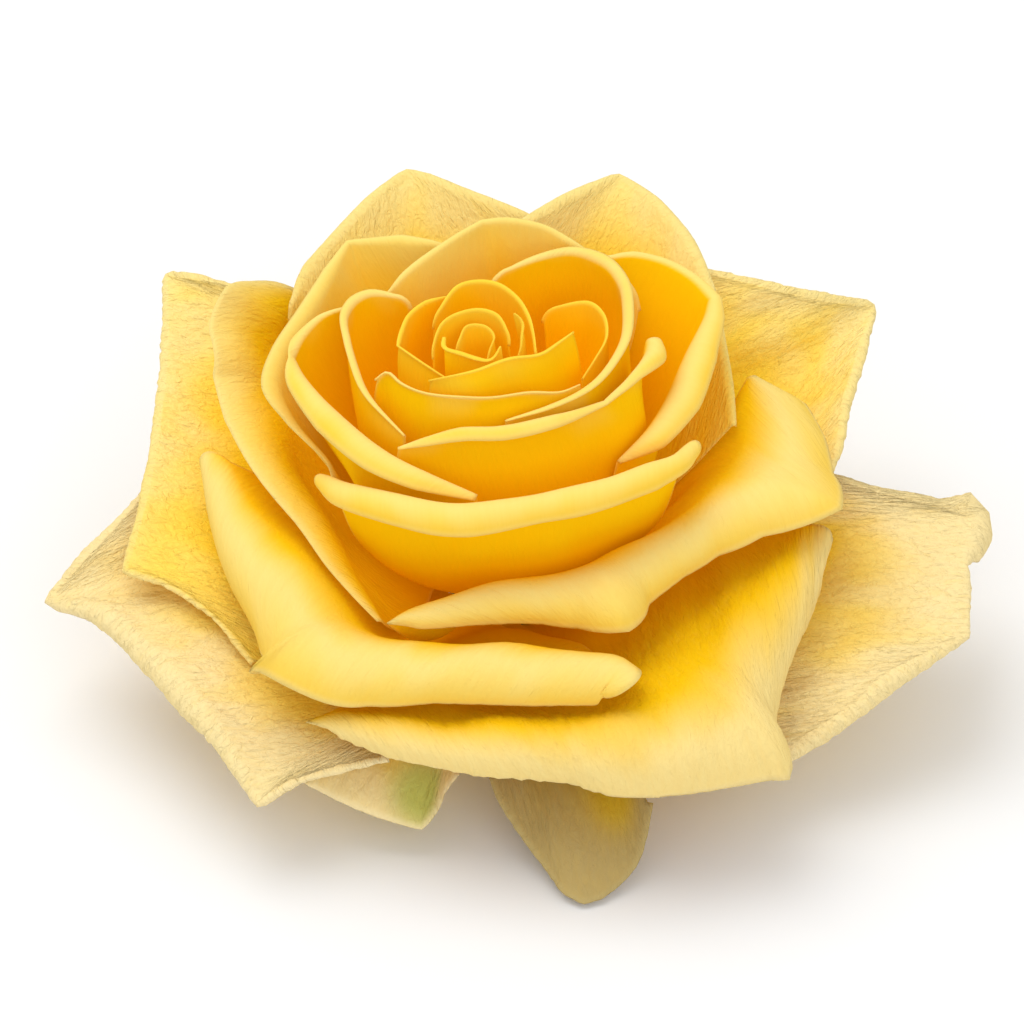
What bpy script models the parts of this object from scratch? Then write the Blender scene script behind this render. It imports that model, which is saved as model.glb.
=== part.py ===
"""A cut rose head: a green calyx on a short stub of stem, and its petals in their layers.

The head stands upright on the cut end of its stub. Its origin is the middle of that cut end, +Z is up,
-Y is the side where the petals open widest, and the tables below are in millimetres and degrees.

Each petal is a smooth sheet with a real thickness. Its crest is the line where it stops rising and rolls
outward, given by a few points round the head's axis. Below the crest a curved meridian runs down to the
petal's seat on the receptacle, and beyond it a lip rolls out and under.
"""
import math
from collections import namedtuple

import bpy
import numpy as np
from mathutils import Vector
from mathutils.bvhtree import BVHTree

MM = 0.001

# The receptacle, the calyx and the stub
STUB_RADIUS = 3.2
STUB_HEIGHT = 2.0
HIP_RADIUS = 5.6
HIP_HEIGHT = 5.0
DOME_RADIUS = 6.4
DOME_BOTTOM = 8.5
DOME_HEIGHT = 9.5
DOME_STEPS = 8
TURN_STEPS = 24
SEPALS = 5
SEPAL_FIRST = 18.0
SEPAL_ROOT = 2.2
SEPAL_LENGTH = 17.0
SEPAL_WIDTH = 6.5
SEPAL_TIP = 0.35
SEPAL_ARCH = 1.2
SEPAL_FOLD = 0.12
SEPAL_THICKNESS = 0.9
SEPAL_STATIONS = 7

# How the petals sit on the receptacle: the gap to it, the step down it from one petal to the next,
# and half the angle that a petal's narrow base spans
SEAT_GAP = 0.7
SEAT_STEP = 1.05
CLAW_ANGLE = 22.0
CLAW_ROOM = 6.0
MOST_CLAW = 0.9

# The petals' sheets
THICKNESS = 0.6
LEAN = -0.0625
CURVE_STEPS = 24
SHOULDER = ((0.45, 0.12), (0.8, 0.45), (1.0, 1.0))
SPREAD_END = 0.6
ROW_EASE = 0.85
SOFTNESS = 0.1
ROLL_CURVE = 1.2
RELAX_ZONE = 0.35
FULL_COLUMNS = 61
FLARE_REACH = 3.0
COLUMN_LENGTH = 4.4
LEAST_COLUMNS = 8
MOST_COLUMNS = 20
SHORT_RIM = 30.0
LIP_STEPS = (1.3, 3.0, 6.0)

# How the petals are kept apart: the spacing of their middle surfaces, how far off a neighbour is felt,
# how steeply two sheets may cross before only their distance counts, and how the pushes are shared out
SPACING = 1.15
REACH = 5.0
STEEP = 0.3
PUSH_SHARE = 0.7
LEAST_PUSH = 0.05
SETTLE_ROUNDS = 10

# Colours, as linear RGB
HEART_COLOUR = (0.95, 0.50, 0.01)
MIDDLE_COLOUR = (0.93, 0.56, 0.05)
OUTER_COLOUR = (0.88, 0.60, 0.16)
CALYX_COLOUR = (0.16, 0.28, 0.06)

# rim: points of the crest, as azimuth, radius, height and lip width, then its own arrival and wrap angles.
# tips: which of them are pointed. arrive: the slope at which the sheet reaches its crest.
# wrap: how far the lip rolls. hold: how long the meridian keeps its two end slopes.
# point: how near the crest a pointed tip starts to crease the sheet. relax: how much the sheet is evened out.
# corners: points where only the lip is pointed, with the crest smooth. shoulder: how far the crest falls
# away past its two ends, in millimetres. flare: how far the lip's open ends bulge along the crest.
Petal = namedtuple("Petal", "name rim tips arrive wrap hold point relax corners shoulder flare",
                   defaults=((), 90, 90, (0.4, 0.4), 3, 0, (), (0, 0), 0))

PETALS = [
    Petal("heart_petal_1", [(310, 2.3, 50.3, 0.4), (350, 2, 51.1, 0.4), (45, 1.4, 51.5, 0.4),
                            (135, 1.5, 51.5, 0.4), (200, 2, 51, 0.4)], arrive=92, wrap=60, shoulder=(1, 1)),
    Petal("heart_petal_2", [(200, 3.6, 51.8, 0.4), (216, 4, 51.2, 1), (235, 3.4, 50.7, 1.4),
                            (272, 3.4, 50.3, 1.4), (295, 4.1, 50.5, 0.9), (313, 4.3, 52, 0.4)], arrive=95,
          wrap=140),
    Petal("heart_petal_3", [(5, 3.1, 51.4, 0.4), (40, 2.7, 52.2, 0.5), (85, 2.6, 52.4, 0.5),
                            (140, 3.1, 52.3, 0.5), (166, 3.9, 51.8, 0.5), (194, 4.7, 50.7, 0.4)],
          arrive=95, wrap=80, shoulder=(1, 1)),
    Petal("heart_petal_4", [(330, 5.2, 49, 0.4), (345, 5.1, 50.6, 0.5), (2, 4.8, 52, 0.5),
                            (17, 4.4, 53.3, 0.3)], arrive=95, wrap=60),
    Petal("heart_petal_5", [(345, 7, 49.6, 0.4), (3, 6.5, 50.6, 0.5), (29, 6.8, 51.1, 0.6),
                            (54, 8, 51.4, 0.6), (74, 9, 51.8, 0.6), (90, 9.2, 51.8, 0.6),
                            (105, 8.5, 51.8, 0.6), (129, 6.8, 50.9, 0.4)], arrive=96, wrap=100,
          shoulder=(0, 1.5)),
    Petal("heart_petal_6", [(124, 7.5, 50.3, 0.4), (134, 8.3, 50.3, 0.6), (151, 8.9, 50.2, 0.6),
                            (168, 9, 49.8, 0.7), (180, 9.3, 49.4, 0.6), (190, 7.8, 49, 0.7),
                            (210, 6.3, 48.5, 0.7), (236, 5.8, 48, 0.6), (258, 6, 47.5, 0.4)], (4,),
          arrive=98, wrap=110, shoulder=(2, 0)),
    Petal("heart_petal_7", [(222, 7, 48.8, 0.5), (262, 5.5, 50.8, 1.1), (310, 5, 51, 1.3),
                            (340, 6.8, 50.4, 1.2), (356, 8.8, 50.4, 0.9), (6, 11.4, 50.7, 0.5)],
          arrive=100, wrap=120),
    Petal("heart_petal_8", [(348, 12.4, 46.5, 0.4), (3, 13.8, 47.1, 0.5), (15, 15.6, 47.6, 0.6),
                            (27, 16.6, 48.1, 0.6), (37, 16.4, 48.1, 0.6), (46, 14, 47.5, 0.4)], arrive=92,
          wrap=80, shoulder=(0, 2)),
    Petal("inner_petal_1", [(198, 12.6, 47.5, 0.5), (200, 11.2, 48.5, 0.8), (208, 10.2, 48, 0.9),
                            (226, 8.6, 48, 0.9), (270, 7, 48, 0.9), (310, 9, 48, 0.9),
                            (326, 11.4, 47.5, 0.8), (338, 12.8, 47.5, 0.5)], arrive=106, wrap=120),
    Petal("inner_petal_2", [(137, 14, 49.5, 0.6), (143, 16, 49.5, 1.2), (149, 17, 49, 1.5),
                            (157, 17, 48.5, 1.5), (171, 15.2, 48, 1.6), (187, 13.8, 47, 1.6),
                            (206, 13.4, 46, 1.4), (231, 13.8, 44.5, 0.6)], arrive=100, wrap=125,
          shoulder=(2, 0)),
    Petal("inner_petal_3", [(286, 9, 46, 0.6), (317, 10, 46.5, 1.6), (342, 12.4, 47, 2),
                            (357, 14.6, 47.5, 2), (11, 17, 48, 2), (26, 19.2, 48.5, 2), (37, 21, 49, 2),
                            (47, 21.6, 49.5, 2), (57, 20.4, 50, 1.6), (73, 14.4, 50.5, 0.6)], arrive=98,
          wrap=130, shoulder=(0, 3)),
    Petal("inner_petal_4", [(229, 14.8, 44, 0.6), (238, 12.8, 44.5, 2.4), (257, 10.6, 45, 4),
                            (284, 10.4, 45, 4.4), (314, 12, 45.5, 3.6), (337, 15.6, 46, 1.4),
                            (351, 18, 47, 2.4), (3, 19.6, 47.5, 4, 70), (9, 20, 48, 3, 70)], (5,),
          arrive=108, wrap=180),
    Petal("inner_petal_5", [(151, 17.6, 48, 0.6), (158, 19.8, 47.5, 1.4), (166, 21.4, 46.5, 1.8),
                            (174, 22.3, 45.5, 1.5, 90, 60), (184, 20.6, 45, 4), (203, 17.8, 44, 6),
                            (227, 16.3, 43, 6), (247, 16.2, 42, 5), (268, 17, 40.5, 1.5)], (3,), arrive=90,
          wrap=170, shoulder=(2, 0)),
    Petal("inner_petal_6", [(46, 24.2, 46.5, 0.6), (55, 23, 48.6, 0.8), (62, 22.5, 50, 0.9),
                            (69, 22.3, 51.1, 0.9), (75, 21.8, 51.7, 0.9), (81, 21.5, 51.9, 0.9),
                            (88, 20.9, 52, 0.8), (96, 18.7, 51.7, 0.9), (105, 17.3, 51, 0.9),
                            (115, 16.3, 50.2, 0.9), (123, 15.7, 49.6, 0.8), (130, 15.4, 48.8, 0.5)], (6,),
          arrive=78, wrap=100, shoulder=(3, 3)),
    Petal("inner_petal_7", [(333, 16.4, 39.5, 0.6), (345, 18.4, 41, 4.5), (0, 21.2, 42.5, 6),
                            (14, 25.2, 44, 5.5), (22, 29, 45, 3.5), (27, 31, 45.5, 2.2),
                            (33, 30.3, 46.5, 1.8), (39, 28.9, 47.2, 1.8), (44, 26.4, 48, 1.6),
                            (48, 24.4, 48, 0.8)], (5,), arrive=68, wrap=150, shoulder=(0, 3)),
    Petal("inner_petal_8", [(213, 21, 38.2, 3.5), (223, 21, 39.5, 5.5), (240, 19.6, 40.5, 7),
                            (267, 18.2, 40.5, 7.5), (290, 19.2, 41, 6.5), (310, 21.2, 41.5, 6.5),
                            (325, 23.2, 41.5, 6), (332, 24.8, 41.5, 4.5), (339, 25.2, 41, 3.5)], arrive=80,
          wrap=190, hold=(0.6, 0.5), flare=1.5),
    Petal("inner_petal_9", [(104, 20, 49.5, 0.8), (115, 22.7, 49, 1.6), (125, 27.8, 47.5, 0.8),
                            (134, 25.4, 46, 2), (150, 23.2, 45, 2.5), (166, 23.4, 43.5, 3),
                            (176, 24, 41.5, 3), (183, 22.4, 39, 2), (193, 19.4, 36, 0.8)], (2,), arrive=70,
          wrap=90, shoulder=(3, 2)),
    Petal("middle_petal_1", [(8, 30, 34, 0.8), (18, 30.6, 37, 1.5), (37, 34.4, 41, 2), (49, 38, 43.5, 2.2),
                             (58, 40.5, 45, 2.2), (66, 42.4, 46, 1.5), (72, 35.4, 46, 2.2),
                             (79, 30.4, 45.5, 2), (85, 28, 45, 1)], (5,), arrive=50, wrap=150,
          hold=(0.42, 0.35), point=7, relax=100, shoulder=(0, 4)),
    Petal("middle_petal_2", [(74, 31.5, 44, 1), (82, 32.4, 45, 2), (93, 35.6, 45.5, 2),
                             (100, 39.6, 45.5, 2), (103, 41.5, 45.5, 1.5), (110, 38.5, 44.5, 2.2),
                             (119, 35.4, 43, 2.5), (129, 33.2, 41.5, 2.5), (137, 31.4, 40.5, 1)], (4,),
          arrive=48, wrap=150, hold=(0.42, 0.35), point=7, relax=100, shoulder=(2, 2)),
    Petal("middle_petal_3", [(131, 32.8, 37.5, 1, 58, 40), (136, 33.2, 36.4, 6.5, 66, 30),
                             (141, 32.2, 35.4, 11.8, 72, 26), (147, 30.6, 33.7, 12, 62, 34),
                             (154, 27.8, 32.2, 11, 54, 46), (166, 24.7, 30.9, 9.8, 55, 60),
                             (183, 22.4, 30, 8), (203, 20.6, 28.6, 6), (222, 21.8, 27.2, 4.5),
                             (235, 24, 26, 2.5), (240, 25.4, 25.4, 1)], arrive=60, wrap=65,
          hold=(0.45, 0.45), corners=(2,)),
    Petal("middle_petal_4", [(242, 26.2, 27, 0.6), (247, 24, 28, 4), (270, 19.9, 29.5, 7.5),
                             (285, 19.5, 29.8, 9), (296, 20.1, 30.1, 10.5, 45, 150),
                             (305, 20.9, 30.4, 13.5, 45, 118), (314, 21.5, 30.8, 10.5, 45, 145),
                             (327, 23.4, 31.5, 9.5), (336, 25.2, 32.3, 8.5, 38, 135),
                             (343, 26.8, 33.2, 9.5, 30, 90), (351, 28, 34.3, 15.5, 26, 52),
                             (1, 29, 35.7, 12.5, 24, 75), (9, 30, 36.9, 11, 24, 80),
                             (14, 30.6, 37.8, 7.5, 26, 70), (19, 31, 38.5, 2)], arrive=48, wrap=165,
          hold=(0.45, 0.33), corners=(5, 10)),
    Petal("middle_petal_5", [(177, 31.4, 30.5, 5.5, 30), (189, 29, 29.5, 9.5, 25),
                             (202, 26.8, 28.8, 12.5, 22, 150), (216, 24.8, 28.2, 14.5, 22, 125),
                             (226, 24.2, 27.8, 15.5, 25, 95), (233, 24.6, 27.4, 16.5, 28, 62),
                             (239, 25.4, 27.2, 13.5, 38, 105), (247, 25.4, 26.9, 12, 45, 150),
                             (260, 25.6, 26.6, 11.5), (275, 26.6, 26.2, 11.5), (289, 29.3, 25.8, 10.5),
                             (297, 31.7, 25.5, 9.5, 45), (299, 33.5, 25, 8.5)], arrive=48, wrap=170,
          hold=(0.33, 0.33), corners=(5,), flare=2.5),
    Petal("outer_petal_1", [(4, 40.5, 26.5, 0.8), (10, 42.8, 27.5, 1.5), (21, 47, 28.5, 1.8),
                            (28, 52.3, 30, 1.8), (33, 57.5, 31.5, 1.2), (34, 51.8, 34, 2), (38, 45, 37, 2),
                            (44, 38.8, 40, 1.5), (47, 36.4, 41, 1)], (4,), arrive=25, wrap=140,
          hold=(0.42, 0.4), point=7, relax=100),
    Petal("outer_petal_2", [(236, 37, 18.2, 0.8), (240, 35.4, 19, 4.5), (250, 34, 19.6, 7),
                            (264, 33.6, 20, 8.5), (284, 34.2, 20.9, 11.5), (293, 35.6, 21.6, 14.5, 25, 140),
                            (300, 35.6, 22.3, 17, 20, 115), (305, 34.7, 22.6, 21, 14, 80),
                            (313, 33.5, 23.2, 18.5, 18, 105), (322, 33.6, 24, 15, 20, 130),
                            (333, 34.8, 25.3, 12.5), (343, 36.2, 26.6, 10), (350, 38.3, 27.3, 6)],
          arrive=25, wrap=160, hold=(0.45, 0.33), corners=(7,), flare=1.5),
    Petal("outer_petal_3", [(134, 43.5, 34.5, 1), (138, 47.8, 35, 1.8), (140, 52.6, 34.5, 1.2),
                            (147, 47.6, 32, 1.8), (161, 42.6, 29, 2), (179, 41.6, 26, 2),
                            (192, 44.8, 23, 1.2), (196, 40.4, 22, 0.8), (204, 36.4, 20, 0.8),
                            (215, 35, 17.5, 0.8)], (2, 6), arrive=18, wrap=140, hold=(0.42, 0.4), point=7,
          relax=100),
    Petal("outer_petal_4", [(160, 37.4, 25, 1), (174, 42, 24, 2), (182, 46.6, 22, 2), (186, 50.5, 20, 2),
                            (189, 54.5, 17.5, 1.5), (194, 48.4, 19, 3.5), (205, 44.4, 18, 4.5),
                            (218, 43.4, 17, 4.5), (228, 44.8, 14.5, 3), (234, 47.5, 12, 1, -10),
                            (236, 43.4, 13, 1.2), (241, 39, 13.5, 1.2), (249, 35.5, 14.5, 1)], (4, 9),
          arrive=5, wrap=140, hold=(0.42, 0.33), point=5, relax=20),
    Petal("outer_petal_5", [(312, 42, 9.6, 1), (321, 44.4, 11, 2.5), (330, 49.2, 15, 3),
                            (335, 51.2, 16.6, 3), (339, 54.5, 18, 2.5), (343, 59, 19.5, 1.2),
                            (348, 58, 20.3, 1.2), (354, 57.4, 21, 1.2), (356, 57.2, 21.3, 3.5, 8, 125),
                            (2, 58.4, 21.6, 5.5, 8, 120), (3, 54.5, 22.4, 2), (6, 46.4, 23.5, 2),
                            (10, 41.2, 24, 2), (18, 38, 22.5, 1)], (5, 9), arrive=8, wrap=140,
          hold=(0.42, 0.33), point=5, relax=40),
    Petal("outer_petal_6", [(236, 40, 11, 1), (243, 38.4, 8.5, 1), (249, 37.4, 7, 1), (255, 36.4, 5.5, 1),
                            (256.5, 34.4, 6.5, 1), (257.5, 32.4, 7.5, 0.8), (260, 30.4, 9, 0.8)], (3,),
          arrive=-20, wrap=60),
    Petal("outer_petal_7", [(269, 30.8, 9, 0.8), (271, 33.2, 7.5, 0.8), (275, 36.6, 5, 0.8),
                            (278.5, 40.6, 3, 0.8), (280.5, 43.4, 2, 0.8), (283, 44.8, 1.4, 0.8),
                            (286, 44.4, 1.6, 0.8), (291, 42.8, 3, 0.8), (294, 40.8, 5, 0.8),
                            (297, 38.5, 8, 0.8)], (5,), arrive=-30, wrap=50),
    Petal("back_petal_1", [(52, 35, 30, 1), (60, 41, 30, 4), (72, 45, 29, 5), (84, 47, 26.5, 0.8, 10),
                           (96, 44, 28, 5), (108, 37, 29, 1)], (3,), arrive=28, wrap=110,
          hold=(0.36, 0.35)),
    Petal("back_petal_2", [(98, 36, 24, 1), (108, 43, 23, 4), (120, 46, 22, 5), (130, 48, 19.5, 0.8, 0),
                           (140, 44, 21.5, 5), (152, 37, 22.5, 1)], (3,), arrive=15, wrap=110,
          hold=(0.42, 0.35)),
    Petal("back_petal_3", [(32, 34, 20, 1), (42, 40, 18.5, 4), (54, 43, 17, 4), (64, 45, 14, 0.8, -5),
                           (74, 41, 16.5, 4), (86, 34, 18.5, 1)], (3,), arrive=8, wrap=90,
          hold=(0.42, 0.35)),
]


def unit(vectors):
    """Each vector at length 1."""
    length = np.linalg.norm(vectors, axis=-1, keepdims=True)
    return vectors / np.maximum(length, 1e-12)


def smooth_curve(points):
    """A centripetal Catmull-Rom curve through the points, with its lip numbers straight between them."""
    ends = np.vstack([2 * points[0] - points[1], points, 2 * points[-1] - points[-2]])
    steps = np.linalg.norm(np.diff(ends[:, :3], axis=0), axis=1) ** 0.5
    knots = np.concatenate([[0], np.cumsum(steps)])
    pieces = []
    for i in range(1, len(ends) - 2):
        t0, t1, t2, t3 = knots[i - 1:i + 3]
        p0, p1, p2, p3 = ends[i - 1:i + 3]
        t = np.linspace(t1, t2, CURVE_STEPS, endpoint=False)[:, None]
        a1 = (t1 - t) / (t1 - t0) * p0 + (t - t0) / (t1 - t0) * p1
        a2 = (t2 - t) / (t2 - t1) * p1 + (t - t1) / (t2 - t1) * p2
        a3 = (t3 - t) / (t3 - t2) * p2 + (t - t2) / (t3 - t2) * p3
        b1 = (t2 - t) / (t2 - t0) * a1 + (t - t0) / (t2 - t0) * a2
        b2 = (t3 - t) / (t3 - t1) * a2 + (t - t1) / (t3 - t1) * a3
        piece = (t2 - t) / (t2 - t1) * b1 + (t - t1) / (t2 - t1) * b2
        piece[:, 3:] = a2[:, 3:]
        pieces.append(piece)
    return np.vstack(pieces)


def axis_shift(height):
    """How far the bud's leaning axis has moved along X at this height."""
    return LEAN * np.clip(height - DOME_BOTTOM, 0, None)


def shoulder_points(end, onward, size):
    """The crest carried on past an end, falling away as a petal's rounded outline does."""
    points = np.tile(end, (len(SHOULDER), 1))
    for point, (along, down) in zip(points, SHOULDER):
        point[:3] += size * (along * onward - down * np.array([0, 0, 1]))
    return points


def crest_line(petal, columns):
    """The petal's crest as rows of x, y, z, lip, arrival and wrap, pointed at its tips."""
    nodes = []
    for azimuth, radius, height, lip, *own in petal.rim:
        own = own + [petal.arrive, petal.wrap][len(own):]
        x = axis_shift(height) + radius * math.cos(math.radians(azimuth))
        y = radius * math.sin(math.radians(azimuth))
        nodes.append((x, y, height, lip, *own))
    nodes = np.array(nodes)
    marks = np.array([0, *sorted(petal.tips + petal.corners), len(nodes) - 1])
    cuts = np.array([0, *petal.tips, len(nodes) - 1])
    if petal.shoulder[1]:
        onward = unit(nodes[-1, :3] - nodes[-2, :3])
        nodes = np.vstack([nodes, shoulder_points(nodes[-1], onward, petal.shoulder[1])])
    if petal.shoulder[0]:
        onward = unit(nodes[0, :3] - nodes[1, :3])
        nodes = np.vstack([shoulder_points(nodes[0], onward, petal.shoulder[0])[::-1], nodes])
        marks[1:] += len(SHOULDER)
        cuts[1:] += len(SHOULDER)
    marks[-1] = cuts[-1] = len(nodes) - 1
    dense = np.vstack([smooth_curve(nodes[a:b + 1]) for a, b in zip(cuts, cuts[1:])] + [nodes[-1:]])
    run = np.concatenate([[0], np.cumsum(np.linalg.norm(np.diff(dense[:, :3], axis=0), axis=1))])
    stops = run[CURVE_STEPS * marks]
    counts = np.maximum(2, np.round((columns - 1) * np.diff(stops) / run[-1]).astype(int))
    counts[np.argmax(counts)] += columns - 1 - counts.sum()
    at = [np.linspace(a, b, count, endpoint=False) for a, b, count in zip(stops, stops[1:], counts)]
    at = np.concatenate(at + [stops[-1:]])
    return np.stack([np.interp(at, run, column) for column in dense.T], 1)


def softened(values, width):
    """The values along the crest with their quick changes evened out."""
    k = max(1, int(round(width)))
    x = np.arange(-2 * k, 2 * k + 1)
    weights = np.exp(-0.5 * (x / (0.8 * k)) ** 2)
    before = 2 * values[0] - values[1:2 * k + 1][::-1]
    after = 2 * values[-1] - values[-2 * k - 1:-1][::-1]
    return np.convolve(np.concatenate([before, values, after]), weights / weights.sum(), mode="valid")


def bezier(v, ends, first, second):
    """Cubic Bezier values at v, from the start, two handles and the end."""
    w = 1 - v
    return w ** 3 * ends[0] + 3 * v * w ** 2 * first + 3 * v ** 2 * w * second + v ** 3 * ends[1]


def dome_point(distance):
    """Radius, height and slope of the outward normal on the receptacle, this far from its top."""
    angle = np.linspace(0, math.pi / 2, 200)
    radius, height = DOME_RADIUS * np.sin(angle), DOME_BOTTOM + DOME_HEIGHT * np.cos(angle)
    run = np.concatenate([[0], np.cumsum(np.hypot(np.diff(radius), np.diff(height)))])
    at = np.interp(distance, run, angle)
    slope = math.atan2(DOME_RADIUS * math.cos(at), DOME_HEIGHT * math.sin(at))
    return DOME_RADIUS * math.sin(at), DOME_BOTTOM + DOME_HEIGHT * math.cos(at), slope


def petal_seats():
    """How far down the receptacle each petal sits: a step below every petal above it that it meets."""
    middles, seats = [], []
    for petal in PETALS:
        turn = np.degrees(np.unwrap(np.radians([petal.rim[0][0], petal.rim[len(petal.rim) // 2][0],
                                                petal.rim[-1][0]])))
        middle = 0.5 * (turn[0] + turn[-1])
        seat = SEAT_STEP
        for other, taken in zip(middles, seats):
            apart = abs((middle - other + 180) % 360 - 180)
            if apart < 2 * CLAW_ANGLE + CLAW_ROOM:
                seat = max(seat, taken + SEAT_STEP)
        middles.append(middle)
        seats.append(seat)
    return seats


def petal_sheet(petal, seat, columns, rows, lip_rows):
    """The petal's middle surface, as a grid of points from its seat, over its crest, to its margin."""
    crest = crest_line(petal, columns)
    top, lip = crest[:, :3], crest[:, 3]
    arrive, wrap = np.radians(crest[:, 4]), np.radians(crest[:, 5])
    x, y = top[:, 0] - axis_shift(top[:, 2]), top[:, 1]
    radius, azimuth = np.hypot(x, y), np.unwrap(np.arctan2(y, x))

    dome_radius, dome_height, slope = dome_point(seat)
    seat_radius = dome_radius + SEAT_GAP * math.cos(slope)
    seat_height = dome_height + SEAT_GAP * math.sin(slope)

    v = (np.linspace(0, 1, rows) ** ROW_EASE)[:, None]
    near = v ** petal.point
    width = SOFTNESS * columns
    r_end, z_end, a_end = (softened(c, width) + (c - softened(c, width)) * near
                           for c in (radius, top[:, 2], azimuth))
    chord = np.hypot(r_end - seat_radius, z_end - seat_height)
    first, second = petal.hold[0] * chord, petal.hold[1] * chord
    leave_r, leave_z = seat_radius + first * math.cos(slope), seat_height + first * math.sin(slope)
    r = bezier(v, (seat_radius, r_end), leave_r, r_end - second * np.cos(arrive))
    z = bezier(v, (seat_height, z_end), leave_z, z_end - second * np.sin(arrive))
    middle = 0.5 * (azimuth[0] + azimuth[-1])
    half = 0.5 * abs(azimuth[-1] - azimuth[0])
    narrow = min(MOST_CLAW, math.radians(CLAW_ANGLE) / half)
    t = np.clip(v / SPREAD_END, 0, 1)
    turn = middle + (a_end - middle) * (narrow + (1 - narrow) * t * (2 - t))
    body = np.stack([axis_shift(z) + r * np.cos(turn), r * np.sin(turn), z], -1)

    tangent = unit(np.gradient(top, axis=0))
    outward = np.stack([np.cos(azimuth), np.sin(azimuth), np.zeros(columns)], 1)
    rise = np.cos(arrive)[:, None] * outward + np.sin(arrive)[:, None] * np.array([0, 0, 1])
    under = np.sin(arrive)[:, None] * outward - np.cos(arrive)[:, None] * np.array([0, 0, 1])
    onward = unit(rise - (rise * tangent).sum(1, keepdims=True) * tangent)
    aside = np.cross(onward, tangent)
    aside *= np.sign((aside * under).sum(1, keepdims=True))
    fine = np.linspace(0, 1, 8 * lip_rows + 1)
    bend = wrap[:, None] * fine ** ROLL_CURVE
    step = (fine[1] * lip)[:, None]
    along, down = (np.cumsum(0.5 * (f(bend[:, 1:]) + f(bend[:, :-1])) * step, 1)[:, 7::8].T[:, :, None]
                   for f in (np.cos, np.sin))
    run = np.concatenate([[0], np.cumsum(np.linalg.norm(np.diff(top, axis=0), axis=1))])
    near_end = np.exp((run - run[-1]) / FLARE_REACH) - np.exp(-run / FLARE_REACH)
    t = (np.arange(1, lip_rows + 1) / lip_rows)[:, None, None]
    bulge = petal.flare * 4 * t * (1 - t) * near_end[:, None] * tangent
    sheet = np.concatenate([body, top + along * onward + down * aside + bulge])

    passes = int(round(petal.relax * (columns / FULL_COLUMNS) ** 2))
    under_crest = (rows - 1 - np.arange(len(sheet))) / (RELAX_ZONE * rows)
    weight = 0.5 * np.clip(under_crest, 0, 1)[:, None, None]
    for _ in range(passes):
        mean = 0.5 * (sheet[:, 2:] + sheet[:, :-2])
        sheet[:, 1:-1] += weight * (mean - sheet[:, 1:-1])
    return sheet


def grid_size(petal):
    """Columns, rows and lip rows that suit a petal's size."""
    crest = crest_line(petal, 40)
    length = np.linalg.norm(np.diff(crest[:, :3], axis=0), axis=1).sum()
    columns = int(np.clip(round(length / COLUMN_LENGTH), LEAST_COLUMNS, MOST_COLUMNS))
    lip_rows = 1 + sum(crest[:, 3].max() >= step for step in LIP_STEPS)
    rows = 6 if length < SHORT_RIM else 7
    return columns, rows, lip_rows


def grid_faces(rows, columns):
    """Triangles between the points of a grid, each quad cut the same way."""
    i = np.arange(rows * columns).reshape(rows, columns)
    a, b, c, d = i[:-1, :-1], i[:-1, 1:], i[1:, 1:], i[1:, :-1]
    return np.concatenate([np.stack([a, b, c], -1).reshape(-1, 3), np.stack([a, c, d], -1).reshape(-1, 3)])


def outer_normals(sheet):
    """Unit normals on the side of the sheet that faces away from the bud."""
    across = np.gradient(sheet, axis=1)
    upward = np.gradient(sheet, axis=0)
    return unit(np.cross(across, upward))


def neighbourhoods(grid, mode):
    """The grid shifted by a cell each way, as a stack of nine."""
    padded = np.pad(grid, 1, mode=mode)
    return [padded[1 + i:padded.shape[0] - 1 + i, 1 + j:padded.shape[1] - 1 + j]
            for i in (-1, 0, 1) for j in (-1, 0, 1)]


def samples(grid):
    """The grid with the middles of its cells' edges and diagonals added."""
    fine = np.zeros((2 * grid.shape[0] - 1, 2 * grid.shape[1] - 1, 3))
    fine[::2, ::2] = grid
    fine[1::2, ::2] = 0.5 * (grid[1:] + grid[:-1])
    fine[::2, 1::2] = 0.5 * (grid[:, 1:] + grid[:, :-1])
    fine[1::2, 1::2] = 0.5 * (grid[:-1, :-1] + grid[1:, 1:])
    return fine


def needed_push(point, normal, trees):
    """How far a point must move along its outer normal to lie clear outside the petals inside it."""
    push = 0.0
    for tree in trees:
        spot, slope, _, gap = tree.find_nearest(point, REACH)
        if spot is None:
            continue
        facing = slope.dot(normal)
        if abs(facing) < STEEP:
            if gap < SPACING:
                push = max(push, SPACING - gap)
            continue
        if facing < 0:
            slope = -slope
        away = point - spot
        height = away.dot(slope)
        aside = (away - height * slope).length
        if aside < SPACING and height < SPACING:
            push = max(push, SPACING - height)
    return push


def settle(sheet, body_rows, trees):
    """The sheet moved outward wherever its body would touch or cross the petals inside it.

    The lip goes along with its crest.
    """
    sheet = sheet.copy()
    normals = outer_normals(sheet[:body_rows])
    ways = unit(samples(normals))
    for _ in range(SETTLE_ROUNDS):
        spots = samples(sheet[:body_rows])
        push = np.zeros(spots.shape[:2])
        for i in range(len(push)):
            for j in range(push.shape[1]):
                push[i, j] = needed_push(Vector(spots[i, j]), Vector(ways[i, j]), trees)
        if push.max() < LEAST_PUSH:
            break
        at_nodes = np.max(neighbourhoods(push, "constant"), axis=0)[::2, ::2]
        soft = np.maximum(at_nodes, np.mean(neighbourhoods(at_nodes, "edge"), axis=0))
        move = PUSH_SHARE * soft[..., None] * normals
        sheet[:body_rows] += move
        sheet[body_rows:] += move[-1]
    return sheet


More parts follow.
